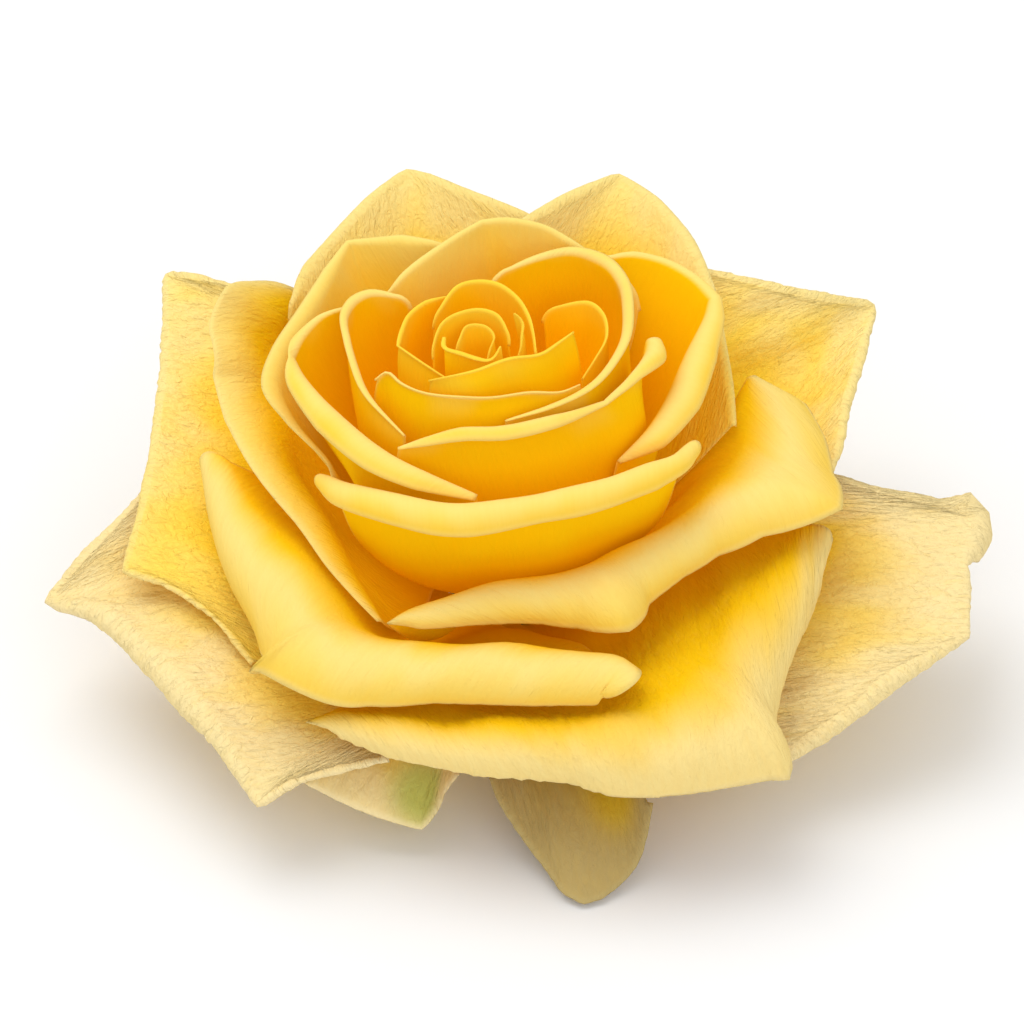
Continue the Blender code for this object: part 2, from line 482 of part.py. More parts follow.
def settled_sheets():
    """Every petal's sheet, from the inside out, each clear of those before it."""
    sheets, trees = [], []
    for petal, seat in zip(PETALS, petal_seats()):
        columns, rows, lip_rows = grid_size(petal)
        sheet = petal_sheet(petal, seat, columns, rows, lip_rows)
        sheet = settle(sheet, rows, trees)
        sheets.append(sheet)
        faces = grid_faces(*sheet.shape[:2])
        trees.append(BVHTree.FromPolygons(sheet.reshape(-1, 3).tolist(), faces.tolist()))
    return sheets


def make_material(name, colour, roughness=0.6):
    """A plain material of one colour."""
    material = bpy.data.materials.new(name)
    material.use_nodes = True
    shader = material.node_tree.nodes["Principled BSDF"]
    shader.inputs["Base Color"].default_value = (*colour, 1)
    shader.inputs["Roughness"].default_value = roughness
    shader.inputs["Metallic"].default_value = 0
    return material


def petal_object(petal, sheet, collection, material):
    """One petal: its sheet as an open mesh, thickened by Solidify."""
    rows, columns = sheet.shape[:2]
    mesh = bpy.data.meshes.new(petal.name)
    faces = grid_faces(rows, columns)
    mesh.from_pydata((sheet.reshape(-1, 3) * MM).tolist(), [], faces.tolist())
    mesh.shade_smooth()
    mesh.materials.append(material)
    piece = bpy.data.objects.new(petal.name, mesh)
    collection.objects.link(piece)
    solid = piece.modifiers.new("thickness", "SOLIDIFY")
    solid.thickness = THICKNESS * MM
    solid.offset = 0
    solid.use_even_offset = False
    return piece


def turned(name, profile, collection):
    """A closed solid turned from a profile of radius and height points, listed from the top down."""
    mesh = bpy.data.meshes.new(name)
    edges = [(i, i + 1) for i in range(len(profile) - 1)]
    mesh.from_pydata([(r * MM, 0, z * MM) for r, z in profile], edges, [])
    piece = bpy.data.objects.new(name, mesh)
    collection.objects.link(piece)
    screw = piece.modifiers.new("turn", "SCREW")
    screw.steps = screw.render_steps = TURN_STEPS
    screw.use_merge_vertices = True
    screw.merge_threshold = 0.00001
    return piece


def sepal_object(index, collection):
    """One sepal: a pointed blade that springs from the hip and bends down to the surface."""
    azimuth = math.radians(SEPAL_FIRST + 360 / SEPALS * index)
    t = np.linspace(0, 1, SEPAL_STATIONS)
    reach = HIP_RADIUS - SEPAL_ROOT + SEPAL_LENGTH * t
    height = HIP_HEIGHT - 0.6 + SEPAL_ARCH * np.sin(math.pi * t) - (HIP_HEIGHT - 1.3) * t ** 1.6
    half = 0.5 * SEPAL_WIDTH * (1 - t ** 1.7) * (1 - 0.25 * (1 - t) ** 2) + SEPAL_TIP
    points = []
    for r, z, w in zip(reach, height, half):
        for side in (-1, 0, 1):
            x, y = r, side * w
            points.append((x * math.cos(azimuth) - y * math.sin(azimuth),
                           x * math.sin(azimuth) + y * math.cos(azimuth), z - SEPAL_FOLD * abs(side) * w))
    mesh = bpy.data.meshes.new("sepal")
    mesh.from_pydata((np.array(points) * MM).tolist(), [], grid_faces(SEPAL_STATIONS, 3).tolist())
    piece = bpy.data.objects.new("sepal", mesh)
    collection.objects.link(piece)
    solid = piece.modifiers.new("thickness", "SOLIDIFY")
    solid.thickness = SEPAL_THICKNESS * MM
    solid.offset = 0
    return piece


def calyx_object(collection, scratch, material):
    """The green piece: stub, hip, sepals and the dome that the petals sit on, grown as one."""
    angles = np.linspace(0, math.pi / 2, DOME_STEPS)
    dome = [(DOME_RADIUS * math.sin(a), DOME_BOTTOM + DOME_HEIGHT * math.cos(a)) for a in angles]
    profile = dome + [(HIP_RADIUS + 0.3, 6.8), (HIP_RADIUS, HIP_HEIGHT), (HIP_RADIUS - 0.5, 3.4),
                      (STUB_RADIUS + 0.5, STUB_HEIGHT), (STUB_RADIUS, STUB_HEIGHT - 0.7), (STUB_RADIUS, 0),
                      (0, 0)]
    calyx = turned("calyx", profile, collection)
    calyx.data.materials.append(material)
    for index in range(SEPALS):
        sepal_object(index, scratch)
    union = calyx.modifiers.new("sepals", "BOOLEAN")
    union.operation = "UNION"
    union.operand_type = "COLLECTION"
    union.collection = scratch
    bpy.context.view_layer.update()
    solid = bpy.data.meshes.new_from_object(calyx.evaluated_get(bpy.context.evaluated_depsgraph_get()))
    calyx.modifiers.clear()
    calyx.data = solid
    for piece in list(scratch.objects):
        bpy.data.objects.remove(piece)
    return calyx


def main():
    """Builds the rose head."""
    for piece in list(bpy.data.objects):
        bpy.data.objects.remove(piece)
    rose = bpy.data.collections.new("rose_head")
    scratch = bpy.data.collections.new("sepals")
    bpy.context.scene.collection.children.link(rose)
    bpy.context.scene.collection.children.link(scratch)
    materials = {"heart": make_material("heart petal", HEART_COLOUR),
                 "inner": make_material("inner petal", HEART_COLOUR),
                 "middle": make_material("middle petal", MIDDLE_COLOUR),
                 "outer": make_material("outer petal", OUTER_COLOUR),
                 "back": make_material("back petal", OUTER_COLOUR)}
    calyx_object(rose, scratch, make_material("calyx", CALYX_COLOUR))
    for petal, sheet in zip(PETALS, settled_sheets()):
        petal_object(petal, sheet, rose, materials[petal.name.split("_")[0]])


main()
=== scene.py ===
# %% [markdown]
# # A cut rose head, petal by petal
# The frame is the rose as plain solids: a calyx and thirty-two petals, each at its real size and place.
# This lesson dresses every one of them with a finer sheet of the same form, and gives it colour.

# %% The frame
import math
from collections import namedtuple

import bpy
import numpy as np
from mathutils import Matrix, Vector


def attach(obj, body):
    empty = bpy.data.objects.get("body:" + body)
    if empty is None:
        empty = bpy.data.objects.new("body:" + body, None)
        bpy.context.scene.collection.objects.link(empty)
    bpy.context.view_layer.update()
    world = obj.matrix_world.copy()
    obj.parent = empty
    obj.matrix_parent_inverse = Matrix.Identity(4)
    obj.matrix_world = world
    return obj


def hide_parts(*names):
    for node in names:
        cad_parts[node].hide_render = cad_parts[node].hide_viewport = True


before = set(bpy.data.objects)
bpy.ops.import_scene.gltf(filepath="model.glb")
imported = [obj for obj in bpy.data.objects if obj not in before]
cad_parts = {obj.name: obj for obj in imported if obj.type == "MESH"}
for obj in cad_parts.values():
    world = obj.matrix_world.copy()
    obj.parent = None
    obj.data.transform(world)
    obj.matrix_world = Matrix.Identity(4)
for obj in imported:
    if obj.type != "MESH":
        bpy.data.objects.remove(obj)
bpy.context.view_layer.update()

MM = 0.001

# %% [markdown]
# ## The camera
# The bloom is seen from its open side, from forty degrees above. A long lens from half a metre away keeps
# the near and far petals close to their true proportions, as in a product picture.

# %% Camera
LOOK_AT = Vector((0.0015, 0, 0.024))
CAMERA_ELEVATION = math.radians(40)
CAMERA_DISTANCE = 0.55
LENS_MM = 158.6

lens = bpy.data.cameras.new("camera")
lens.lens = LENS_MM
lens.sensor_width = 36
lens.clip_start = 0.01
camera = bpy.data.objects.new("camera", lens)
bpy.context.scene.collection.objects.link(camera)
away = Vector((0, -math.cos(CAMERA_ELEVATION), math.sin(CAMERA_ELEVATION)))
camera.location = LOOK_AT + CAMERA_DISTANCE * away
camera.rotation_euler = away.to_track_quat("Z", "Y").to_euler()
bpy.context.scene.camera = camera

# %% [markdown]
# ## Light and floor
# Petals are thin and soft, so hard light would only show their edges. One broad lamp overhead and a little
# behind makes the rolled lips bright and lets the cup glow. A weaker one at the front opens the shadows,
# and a white sky, brightest overhead, fills the rest and leaves the undersides a little darker.

# %% Light and floor
SKY_LOW, SKY_HIGH = 0.5, 0.9
FLOOR_SIZE = 3.0
FLOOR_WHITE = 0.9
FLOOR_ROUGHNESS = 0.9
FLOOR_SHEEN = 0.1

sky = bpy.data.worlds.new("sky")
sky.use_nodes = True
sky_nodes, sky_links = sky.node_tree.nodes, sky.node_tree.links
background = sky_nodes["Background"]
background.inputs["Color"].default_value = (1, 1, 1, 1)
direction = sky_nodes.new("ShaderNodeTexCoord").outputs["Generated"]
split = sky_nodes.new("ShaderNodeSeparateXYZ")
level = sky_nodes.new("ShaderNodeMapRange")
level.inputs["To Min"].default_value = SKY_LOW
level.inputs["To Max"].default_value = SKY_HIGH
sky_links.new(direction, split.inputs[0])
sky_links.new(split.outputs["Z"], level.inputs["Value"])
sky_links.new(level.outputs["Result"], background.inputs["Strength"])
bpy.context.scene.world = sky
bpy.context.scene.view_settings.view_transform = "Standard"


def soft_lamp(name, place, size, watts):
    """A square lamp of a side in metres, turned towards the bloom."""
    lamp = bpy.data.lights.new(name, "AREA")
    lamp.size = size
    lamp.energy = watts
    holder = bpy.data.objects.new(name, lamp)
    holder.location = place
    holder.rotation_euler = (Vector(place) - LOOK_AT).to_track_quat("Z", "Y").to_euler()
    bpy.context.scene.collection.objects.link(holder)


soft_lamp("key", (-0.2, 0.10, 0.62), 0.5, 1.85)
soft_lamp("fill", (0.2, -0.6, 0.4), 0.5, 1.0)

floor_mesh = bpy.data.meshes.new("floor")
half = FLOOR_SIZE / 2
floor_mesh.from_pydata([(-half, -half, 0), (half, -half, 0), (half, half, 0), (-half, half, 0)], [],
                       [(0, 1, 2, 3)])
floor = bpy.data.objects.new("floor", floor_mesh)
bpy.context.scene.collection.objects.link(floor)
floor_finish = bpy.data.materials.new("pale floor")
floor_finish.use_nodes = True
shader = floor_finish.node_tree.nodes["Principled BSDF"]
shader.inputs["Base Color"].default_value = (FLOOR_WHITE, FLOOR_WHITE, FLOOR_WHITE, 1)
shader.inputs["Roughness"].default_value = FLOOR_ROUGHNESS
shader.inputs["Specular IOR Level"].default_value = FLOOR_SHEEN
floor_mesh.materials.append(floor_finish)

# %% [markdown]
# ## Where each petal ends
# A rose petal rises from the receptacle, and then its rim rolls outward. The line where it turns over is
# its crest. Each petal below is a short list of points along that crest: azimuth in degrees, radius and
# height in millimetres round the bud's leaning axis, and how wide the rolled lip is. The form of the whole
# sheet follows from this line, so the table is all that makes one petal differ from the next.

# %% The petals' crests
# rim: points of the crest, as azimuth, radius, height and lip width, then its own arrival and wrap angles.
# tips: which of them are pointed. arrive: the slope at which the sheet reaches its crest.
# wrap: how far the lip rolls. hold: how long the meridian keeps its two end slopes.
# point: how near the crest a pointed tip starts to crease the sheet. relax: how much the sheet is evened
# out. corners: points where only the lip is pointed, with the crest smooth. shoulder: how far the crest
# falls away past its two ends, in mm. flare: how far the lip's open ends bulge along the crest.
Petal = namedtuple("Petal", "name rim tips arrive wrap hold point relax corners shoulder flare",
                   defaults=((), 90, 90, (0.4, 0.4), 3, 0, (), (0, 0), 0))

PETALS = [
    Petal("heart_petal_1", [
        (310, 2.3, 50.3, 0.4), (350, 2, 51.1, 0.4), (45, 1.4, 51.5, 0.4), (135, 1.5, 51.5, 0.4),
        (200, 2, 51, 0.4)], arrive=92, wrap=60, shoulder=(1, 1)),
    Petal("heart_petal_2", [
        (200, 3.6, 51.8, 0.4), (216, 4, 51.2, 1), (235, 3.4, 50.7, 1.4), (272, 3.4, 50.3, 1.4),
        (295, 4.1, 50.5, 0.9), (313, 4.3, 52, 0.4)], arrive=95, wrap=140),
    Petal("heart_petal_3", [
        (5, 3.1, 51.4, 0.4), (40, 2.7, 52.2, 0.5), (85, 2.6, 52.4, 0.5), (140, 3.1, 52.3, 0.5),
        (166, 3.9, 51.8, 0.5), (194, 4.7, 50.7, 0.4)], arrive=95, wrap=80, shoulder=(1, 1)),
    Petal("heart_petal_4", [
        (330, 5.2, 49, 0.4), (345, 5.1, 50.6, 0.5), (2, 4.8, 52, 0.5), (17, 4.4, 53.3, 0.3)], arrive=95,
        wrap=60),
    Petal("heart_petal_5", [
        (345, 7, 49.6, 0.4), (3, 6.5, 50.6, 0.5), (29, 6.8, 51.1, 0.6), (54, 8, 51.4, 0.6),
        (74, 9, 51.8, 0.6), (90, 9.2, 51.8, 0.6), (105, 8.5, 51.8, 0.6), (129, 6.8, 50.9, 0.4)], arrive=96,
        wrap=100, shoulder=(0, 1.5)),
    Petal("heart_petal_6", [
        (124, 7.5, 50.3, 0.4), (134, 8.3, 50.3, 0.6), (151, 8.9, 50.2, 0.6), (168, 9, 49.8, 0.7),
        (180, 9.3, 49.4, 0.6), (190, 7.8, 49, 0.7), (210, 6.3, 48.5, 0.7), (236, 5.8, 48, 0.6),
        (258, 6, 47.5, 0.4)], (4,), arrive=98, wrap=110, shoulder=(2, 0)),
    Petal("heart_petal_7", [
        (222, 7, 48.8, 0.5), (262, 5.5, 50.8, 1.1), (310, 5, 51, 1.3), (340, 6.8, 50.4, 1.2),
        (356, 8.8, 50.4, 0.9), (6, 11.4, 50.7, 0.5)], arrive=100, wrap=120),
    Petal("heart_petal_8", [
        (348, 12.4, 46.5, 0.4), (3, 13.8, 47.1, 0.5), (15, 15.6, 47.6, 0.6), (27, 16.6, 48.1, 0.6),
        (37, 16.4, 48.1, 0.6), (46, 14, 47.5, 0.4)], arrive=92, wrap=80, shoulder=(0, 2)),
    Petal("inner_petal_1", [
        (198, 12.6, 47.5, 0.5), (200, 11.2, 48.5, 0.8), (208, 10.2, 48, 0.9), (226, 8.6, 48, 0.9),
        (270, 7, 48, 0.9), (310, 9, 48, 0.9), (326, 11.4, 47.5, 0.8), (338, 12.8, 47.5, 0.5)], arrive=106,
        wrap=120),
    Petal("inner_petal_2", [
        (137, 14, 49.5, 0.6), (143, 16, 49.5, 1.2), (149, 17, 49, 1.5), (157, 17, 48.5, 1.5),
        (171, 15.2, 48, 1.6), (187, 13.8, 47, 1.6), (206, 13.4, 46, 1.4), (231, 13.8, 44.5, 0.6)],
        arrive=100, wrap=125, shoulder=(2, 0)),
    Petal("inner_petal_3", [
        (286, 9, 46, 0.6), (317, 10, 46.5, 1.6), (342, 12.4, 47, 2), (357, 14.6, 47.5, 2), (11, 17, 48, 2),
        (26, 19.2, 48.5, 2), (37, 21, 49, 2), (47, 21.6, 49.5, 2), (57, 20.4, 50, 1.6),
        (73, 14.4, 50.5, 0.6)], arrive=98, wrap=130, shoulder=(0, 3)),
    Petal("inner_petal_4", [
        (229, 14.8, 44, 0.6), (238, 12.8, 44.5, 2.4), (257, 10.6, 45, 4), (284, 10.4, 45, 4.4),
        (314, 12, 45.5, 3.6), (337, 15.6, 46, 1.4), (351, 18, 47, 2.4), (3, 19.6, 47.5, 4, 70),
        (9, 20, 48, 3, 70)], (5,), arrive=108, wrap=180),
    Petal("inner_petal_5", [
        (151, 17.6, 48, 0.6), (158, 19.8, 47.5, 1.4), (166, 21.4, 46.5, 1.8),
        (174, 22.3, 45.5, 1.5, 90, 60), (184, 20.6, 45, 4), (203, 17.8, 44, 6), (227, 16.3, 43, 6),
        (247, 16.2, 42, 5), (268, 17, 40.5, 1.5)], (3,), arrive=90, wrap=170, shoulder=(2, 0)),
    Petal("inner_petal_6", [
        (46, 24.2, 46.5, 0.6), (55, 23, 48.6, 0.8), (62, 22.5, 50, 0.9), (69, 22.3, 51.1, 0.9),
        (75, 21.8, 51.7, 0.9), (81, 21.5, 51.9, 0.9), (88, 20.9, 52, 0.8), (96, 18.7, 51.7, 0.9),
        (105, 17.3, 51, 0.9), (115, 16.3, 50.2, 0.9), (123, 15.7, 49.6, 0.8), (130, 15.4, 48.8, 0.5)],
        (6,), arrive=78, wrap=100, shoulder=(3, 3)),
    Petal("inner_petal_7", [
        (333, 16.4, 39.5, 0.6), (345, 18.4, 41, 4.5), (0, 21.2, 42.5, 6), (14, 25.2, 44, 5.5),
        (22, 29, 45, 3.5), (27, 31, 45.5, 2.2), (33, 30.3, 46.5, 1.8), (39, 28.9, 47.2, 1.8),
        (44, 26.4, 48, 1.6), (48, 24.4, 48, 0.8)], (5,), arrive=68, wrap=150, shoulder=(0, 3)),
    Petal("inner_petal_8", [
        (213, 21, 38.2, 3.5), (223, 21, 39.5, 5.5), (240, 19.6, 40.5, 7), (267, 18.2, 40.5, 7.5),
        (290, 19.2, 41, 6.5), (310, 21.2, 41.5, 6.5), (325, 23.2, 41.5, 6), (332, 24.8, 41.5, 4.5),
        (339, 25.2, 41, 3.5)], arrive=80, wrap=190, hold=(0.6, 0.5), flare=1.5),
    Petal("inner_petal_9", [
        (104, 20, 49.5, 0.8), (115, 22.7, 49, 1.6), (125, 27.8, 47.5, 0.8), (134, 25.4, 46, 2),
        (150, 23.2, 45, 2.5), (166, 23.4, 43.5, 3), (176, 24, 41.5, 3), (183, 22.4, 39, 2),
        (193, 19.4, 36, 0.8)], (2,), arrive=70, wrap=90, shoulder=(3, 2)),
    Petal("middle_petal_1", [
        (8, 30, 34, 0.8), (18, 30.6, 37, 1.5), (37, 34.4, 41, 2), (49, 38, 43.5, 2.2), (58, 40.5, 45, 2.2),
        (66, 42.4, 46, 1.5), (72, 35.4, 46, 2.2), (79, 30.4, 45.5, 2), (85, 28, 45, 1)], (5,), arrive=50,
        wrap=150, hold=(0.42, 0.35), point=7, relax=100, shoulder=(0, 4)),
    Petal("middle_petal_2", [
        (74, 31.5, 44, 1), (82, 32.4, 45, 2), (93, 35.6, 45.5, 2), (100, 39.6, 45.5, 2),
        (103, 41.5, 45.5, 1.5), (110, 38.5, 44.5, 2.2), (119, 35.4, 43, 2.5), (129, 33.2, 41.5, 2.5),
        (137, 31.4, 40.5, 1)], (4,), arrive=48, wrap=150, hold=(0.42, 0.35), point=7, relax=100,
        shoulder=(2, 2)),
    Petal("middle_petal_3", [
        (131, 32.8, 37.5, 1, 58, 40), (136, 33.2, 36.4, 6.5, 66, 30), (141, 32.2, 35.4, 11.8, 72, 26),
        (147, 30.6, 33.7, 12, 62, 34), (154, 27.8, 32.2, 11, 54, 46), (166, 24.7, 30.9, 9.8, 55, 60),
        (183, 22.4, 30, 8), (203, 20.6, 28.6, 6), (222, 21.8, 27.2, 4.5), (235, 24, 26, 2.5),
        (240, 25.4, 25.4, 1)], arrive=60, wrap=65, hold=(0.45, 0.45), corners=(2,)),
    Petal("middle_petal_4", [
        (242, 26.2, 27, 0.6), (247, 24, 28, 4), (270, 19.9, 29.5, 7.5), (285, 19.5, 29.8, 9),
        (296, 20.1, 30.1, 10.5, 45, 150), (305, 20.9, 30.4, 13.5, 45, 118),
        (314, 21.5, 30.8, 10.5, 45, 145), (327, 23.4, 31.5, 9.5), (336, 25.2, 32.3, 8.5, 38, 135),
        (343, 26.8, 33.2, 9.5, 30, 90), (351, 28, 34.3, 15.5, 26, 52), (1, 29, 35.7, 12.5, 24, 75),
        (9, 30, 36.9, 11, 24, 80), (14, 30.6, 37.8, 7.5, 26, 70), (19, 31, 38.5, 2)], arrive=48, wrap=165,
        hold=(0.45, 0.33), corners=(5, 10)),
    Petal("middle_petal_5", [
        (177, 31.4, 30.5, 5.5, 30), (189, 29, 29.5, 9.5, 25), (202, 26.8, 28.8, 12.5, 22, 150),
        (216, 24.8, 28.2, 14.5, 22, 125), (226, 24.2, 27.8, 15.5, 25, 95), (233, 24.6, 27.4, 16.5, 28, 62),
        (239, 25.4, 27.2, 13.5, 38, 105), (247, 25.4, 26.9, 12, 45, 150), (260, 25.6, 26.6, 11.5),
        (275, 26.6, 26.2, 11.5), (289, 29.3, 25.8, 10.5), (297, 31.7, 25.5, 9.5, 45),
        (299, 33.5, 25, 8.5)], arrive=48, wrap=170, hold=(0.33, 0.33), corners=(5,), flare=2.5),
    Petal("outer_petal_1", [
        (4, 40.5, 26.5, 0.8), (10, 42.8, 27.5, 1.5), (21, 47, 28.5, 1.8), (28, 52.3, 30, 1.8),
        (33, 57.5, 31.5, 1.2), (34, 51.8, 34, 2), (38, 45, 37, 2), (44, 38.8, 40, 1.5), (47, 36.4, 41, 1)],
        (4,), arrive=25, wrap=140, hold=(0.42, 0.4), point=7, relax=100),
    Petal("outer_petal_2", [
        (236, 37, 18.2, 0.8), (240, 35.4, 19, 4.5), (250, 34, 19.6, 7), (264, 33.6, 20, 8.5),
        (284, 34.2, 20.9, 11.5), (293, 35.6, 21.6, 14.5, 25, 140), (300, 35.6, 22.3, 17, 20, 115),
        (305, 34.7, 22.6, 21, 14, 80), (313, 33.5, 23.2, 18.5, 18, 105), (322, 33.6, 24, 15, 20, 130),
        (333, 34.8, 25.3, 12.5), (343, 36.2, 26.6, 10), (350, 38.3, 27.3, 6)], arrive=25, wrap=160,
        hold=(0.45, 0.33), corners=(7,), flare=1.5),
    Petal("outer_petal_3", [
        (134, 43.5, 34.5, 1), (138, 47.8, 35, 1.8), (140, 52.6, 34.5, 1.2), (147, 47.6, 32, 1.8),
        (161, 42.6, 29, 2), (179, 41.6, 26, 2), (192, 44.8, 23, 1.2), (196, 40.4, 22, 0.8),
        (204, 36.4, 20, 0.8), (215, 35, 17.5, 0.8)], (2, 6), arrive=18, wrap=140, hold=(0.42, 0.4),
        point=7, relax=100),
    Petal("outer_petal_4", [
        (160, 37.4, 25, 1), (174, 42, 24, 2), (182, 46.6, 22, 2), (186, 50.5, 20, 2),
        (189, 54.5, 17.5, 1.5), (194, 48.4, 19, 3.5), (205, 44.4, 18, 4.5), (218, 43.4, 17, 4.5),
        (228, 44.8, 14.5, 3), (234, 47.5, 12, 1, -10), (236, 43.4, 13, 1.2), (241, 39, 13.5, 1.2),
        (249, 35.5, 14.5, 1)], (4, 9), arrive=5, wrap=140, hold=(0.42, 0.33), point=5, relax=20),
    Petal("outer_petal_5", [
        (312, 42, 9.6, 1), (321, 44.4, 11, 2.5), (330, 49.2, 15, 3), (335, 51.2, 16.6, 3),
        (339, 54.5, 18, 2.5), (343, 59, 19.5, 1.2), (348, 58, 20.3, 1.2), (354, 57.4, 21, 1.2),
        (356, 57.2, 21.3, 3.5, 8, 125), (2, 58.4, 21.6, 5.5, 8, 120), (3, 54.5, 22.4, 2),
        (6, 46.4, 23.5, 2), (10, 41.2, 24, 2), (18, 38, 22.5, 1)], (5, 9), arrive=8, wrap=140,
        hold=(0.42, 0.33), point=5, relax=40),
    Petal("outer_petal_6", [
        (236, 40, 11, 1), (243, 38.4, 8.5, 1), (249, 37.4, 7, 1), (255, 36.4, 5.5, 1),
        (256.5, 34.4, 6.5, 1), (257.5, 32.4, 7.5, 0.8), (260, 30.4, 9, 0.8)], (3,), arrive=-20, wrap=60),
    Petal("outer_petal_7", [
        (269, 30.8, 9, 0.8), (271, 33.2, 7.5, 0.8), (275, 36.6, 5, 0.8), (278.5, 40.6, 3, 0.8),
        (280.5, 43.4, 2, 0.8), (283, 44.8, 1.4, 0.8), (286, 44.4, 1.6, 0.8), (291, 42.8, 3, 0.8),
        (294, 40.8, 5, 0.8), (297, 38.5, 8, 0.8)], (5,), arrive=-30, wrap=50),
    Petal("back_petal_1", [
        (52, 35, 30, 1), (60, 41, 30, 4), (72, 45, 29, 5), (84, 47, 26.5, 0.8, 10), (96, 44, 28, 5),
        (108, 37, 29, 1)], (3,), arrive=28, wrap=110, hold=(0.36, 0.35)),
    Petal("back_petal_2", [
        (98, 36, 24, 1), (108, 43, 23, 4), (120, 46, 22, 5), (130, 48, 19.5, 0.8, 0), (140, 44, 21.5, 5),
        (152, 37, 22.5, 1)], (3,), arrive=15, wrap=110, hold=(0.42, 0.35)),
    Petal("back_petal_3", [
        (32, 34, 20, 1), (42, 40, 18.5, 4), (54, 43, 17, 4), (64, 45, 14, 0.8, -5), (74, 41, 16.5, 4),
        (86, 34, 18.5, 1)], (3,), arrive=8, wrap=90, hold=(0.42, 0.35)),
]
print(len(PETALS), "petals")

# %% [markdown]
# ## A smooth line through a few points
# A centripetal Catmull-Rom curve passes through every point without the loops that other splines make where
# points lie unevenly. Each span between two pointed tips is a curve of its own, so the tips stay sharp.

# %% Crest lines
DOME_RADIUS = 6.4
DOME_BOTTOM = 8.5
DOME_HEIGHT = 9.5
LEAN = -0.0625
CURVE_STEPS = 24
MEASURING_COLUMNS = 40
SHOULDER = ((0.45, 0.12), (0.8, 0.45), (1.0, 1.0))


def unit(vectors):
    """Each vector divided by its own length."""
    length = np.linalg.norm(vectors, axis=-1, keepdims=True)
    return vectors / np.maximum(length, 1e-12)


def run_along(points):
    """How far along a line each of its points lies, from their first three numbers."""
    return np.concatenate([[0], np.cumsum(np.linalg.norm(np.diff(points[:, :3], axis=0), axis=1))])


def smooth_curve(points):
    """A centripetal Catmull-Rom curve: each span blends the four points round it, lip numbers straight."""
    ends = np.vstack([2 * points[0] - points[1], points, 2 * points[-1] - points[-2]])
    steps = np.linalg.norm(np.diff(ends[:, :3], axis=0), axis=1) ** 0.5
    knots = np.concatenate([[0], np.cumsum(steps)])
    pieces = []
    for i in range(1, len(ends) - 2):
        t0, t1, t2, t3 = knots[i - 1:i + 3]
        p0, p1, p2, p3 = ends[i - 1:i + 3]
        t = np.linspace(t1, t2, CURVE_STEPS, endpoint=False)[:, None]
        a1 = (t1 - t) / (t1 - t0) * p0 + (t - t0) / (t1 - t0) * p1
        a2 = (t2 - t) / (t2 - t1) * p1 + (t - t1) / (t2 - t1) * p2
        a3 = (t3 - t) / (t3 - t2) * p2 + (t - t2) / (t3 - t2) * p3
        b1 = (t2 - t) / (t2 - t0) * a1 + (t - t0) / (t2 - t0) * a2
        b2 = (t3 - t) / (t3 - t1) * a2 + (t - t1) / (t3 - t1) * a3
        piece = (t2 - t) / (t2 - t1) * b1 + (t - t1) / (t2 - t1) * b2
        piece[:, 3:] = a2[:, 3:]
        pieces.append(piece)
    return np.vstack(pieces)


def axis_shift(height):
    """The bud leans: its axis moves along X in proportion to the height over the receptacle."""
    return LEAN * np.clip(height - DOME_BOTTOM, 0, None)


def shoulder_points(end, onward, size):
    """The crest carried on past an end, falling away as a petal's rounded outline does."""
    points = np.tile(end, (len(SHOULDER), 1))
    for point, (along, down) in zip(points, SHOULDER):
        point[:3] += size * (along * onward - down * np.array([0, 0, 1]))
    return points


def crest_line(petal, columns):
    """The crest as rows of x, y, z, lip, arrival and wrap: polar points round the leaning axis, curved."""
    points = []
    for azimuth, radius, height, lip, *own in petal.rim:
        own = own + [petal.arrive, petal.wrap][len(own):]
        x = axis_shift(height) + radius * math.cos(math.radians(azimuth))
        y = radius * math.sin(math.radians(azimuth))
        points.append((x, y, height, lip, *own))
    points = np.array(points)
    marks = np.array([0, *sorted(petal.tips + petal.corners), len(points) - 1])
    cuts = np.array([0, *petal.tips, len(points) - 1])
    if petal.shoulder[1]:
        onward = unit(points[-1, :3] - points[-2, :3])
        points = np.vstack([points, shoulder_points(points[-1], onward, petal.shoulder[1])])
    if petal.shoulder[0]:
        onward = unit(points[0, :3] - points[1, :3])
        points = np.vstack([shoulder_points(points[0], onward, petal.shoulder[0])[::-1], points])
        marks[1:] += len(SHOULDER)
        cuts[1:] += len(SHOULDER)
    marks[-1] = cuts[-1] = len(points) - 1
    dense = np.vstack([smooth_curve(points[a:b + 1]) for a, b in zip(cuts, cuts[1:])] + [points[-1:]])
    run = run_along(dense)
    stops = run[CURVE_STEPS * marks]
    counts = np.maximum(2, np.round((columns - 1) * np.diff(stops) / run[-1]).astype(int))
    counts[np.argmax(counts)] += columns - 1 - counts.sum()
    at = [np.linspace(a, b, count, endpoint=False) for a, b, count in zip(stops, stops[1:], counts)]
    at = np.concatenate(at + [stops[-1:]])
    return np.stack([np.interp(at, run, column) for column in dense.T], 1)


def crest_length(petal):
    """The crest's length in millimetres."""
    return run_along(crest_line(petal, MEASURING_COLUMNS))[-1]


# %% [markdown]
# ## Where each petal sits
# The receptacle is a small dome. Petals grow from it in a spiral, each a step lower than those it overlaps,
# and each leaves the dome square to it. That is why the inner petals stand up and the outer ones lie open.

# %% Seats on the receptacle
SEAT_GAP = 0.7
SEAT_STEP = 1.05
CLAW_ANGLE = 22.0
CLAW_ROOM = 6.0
MOST_CLAW = 0.9


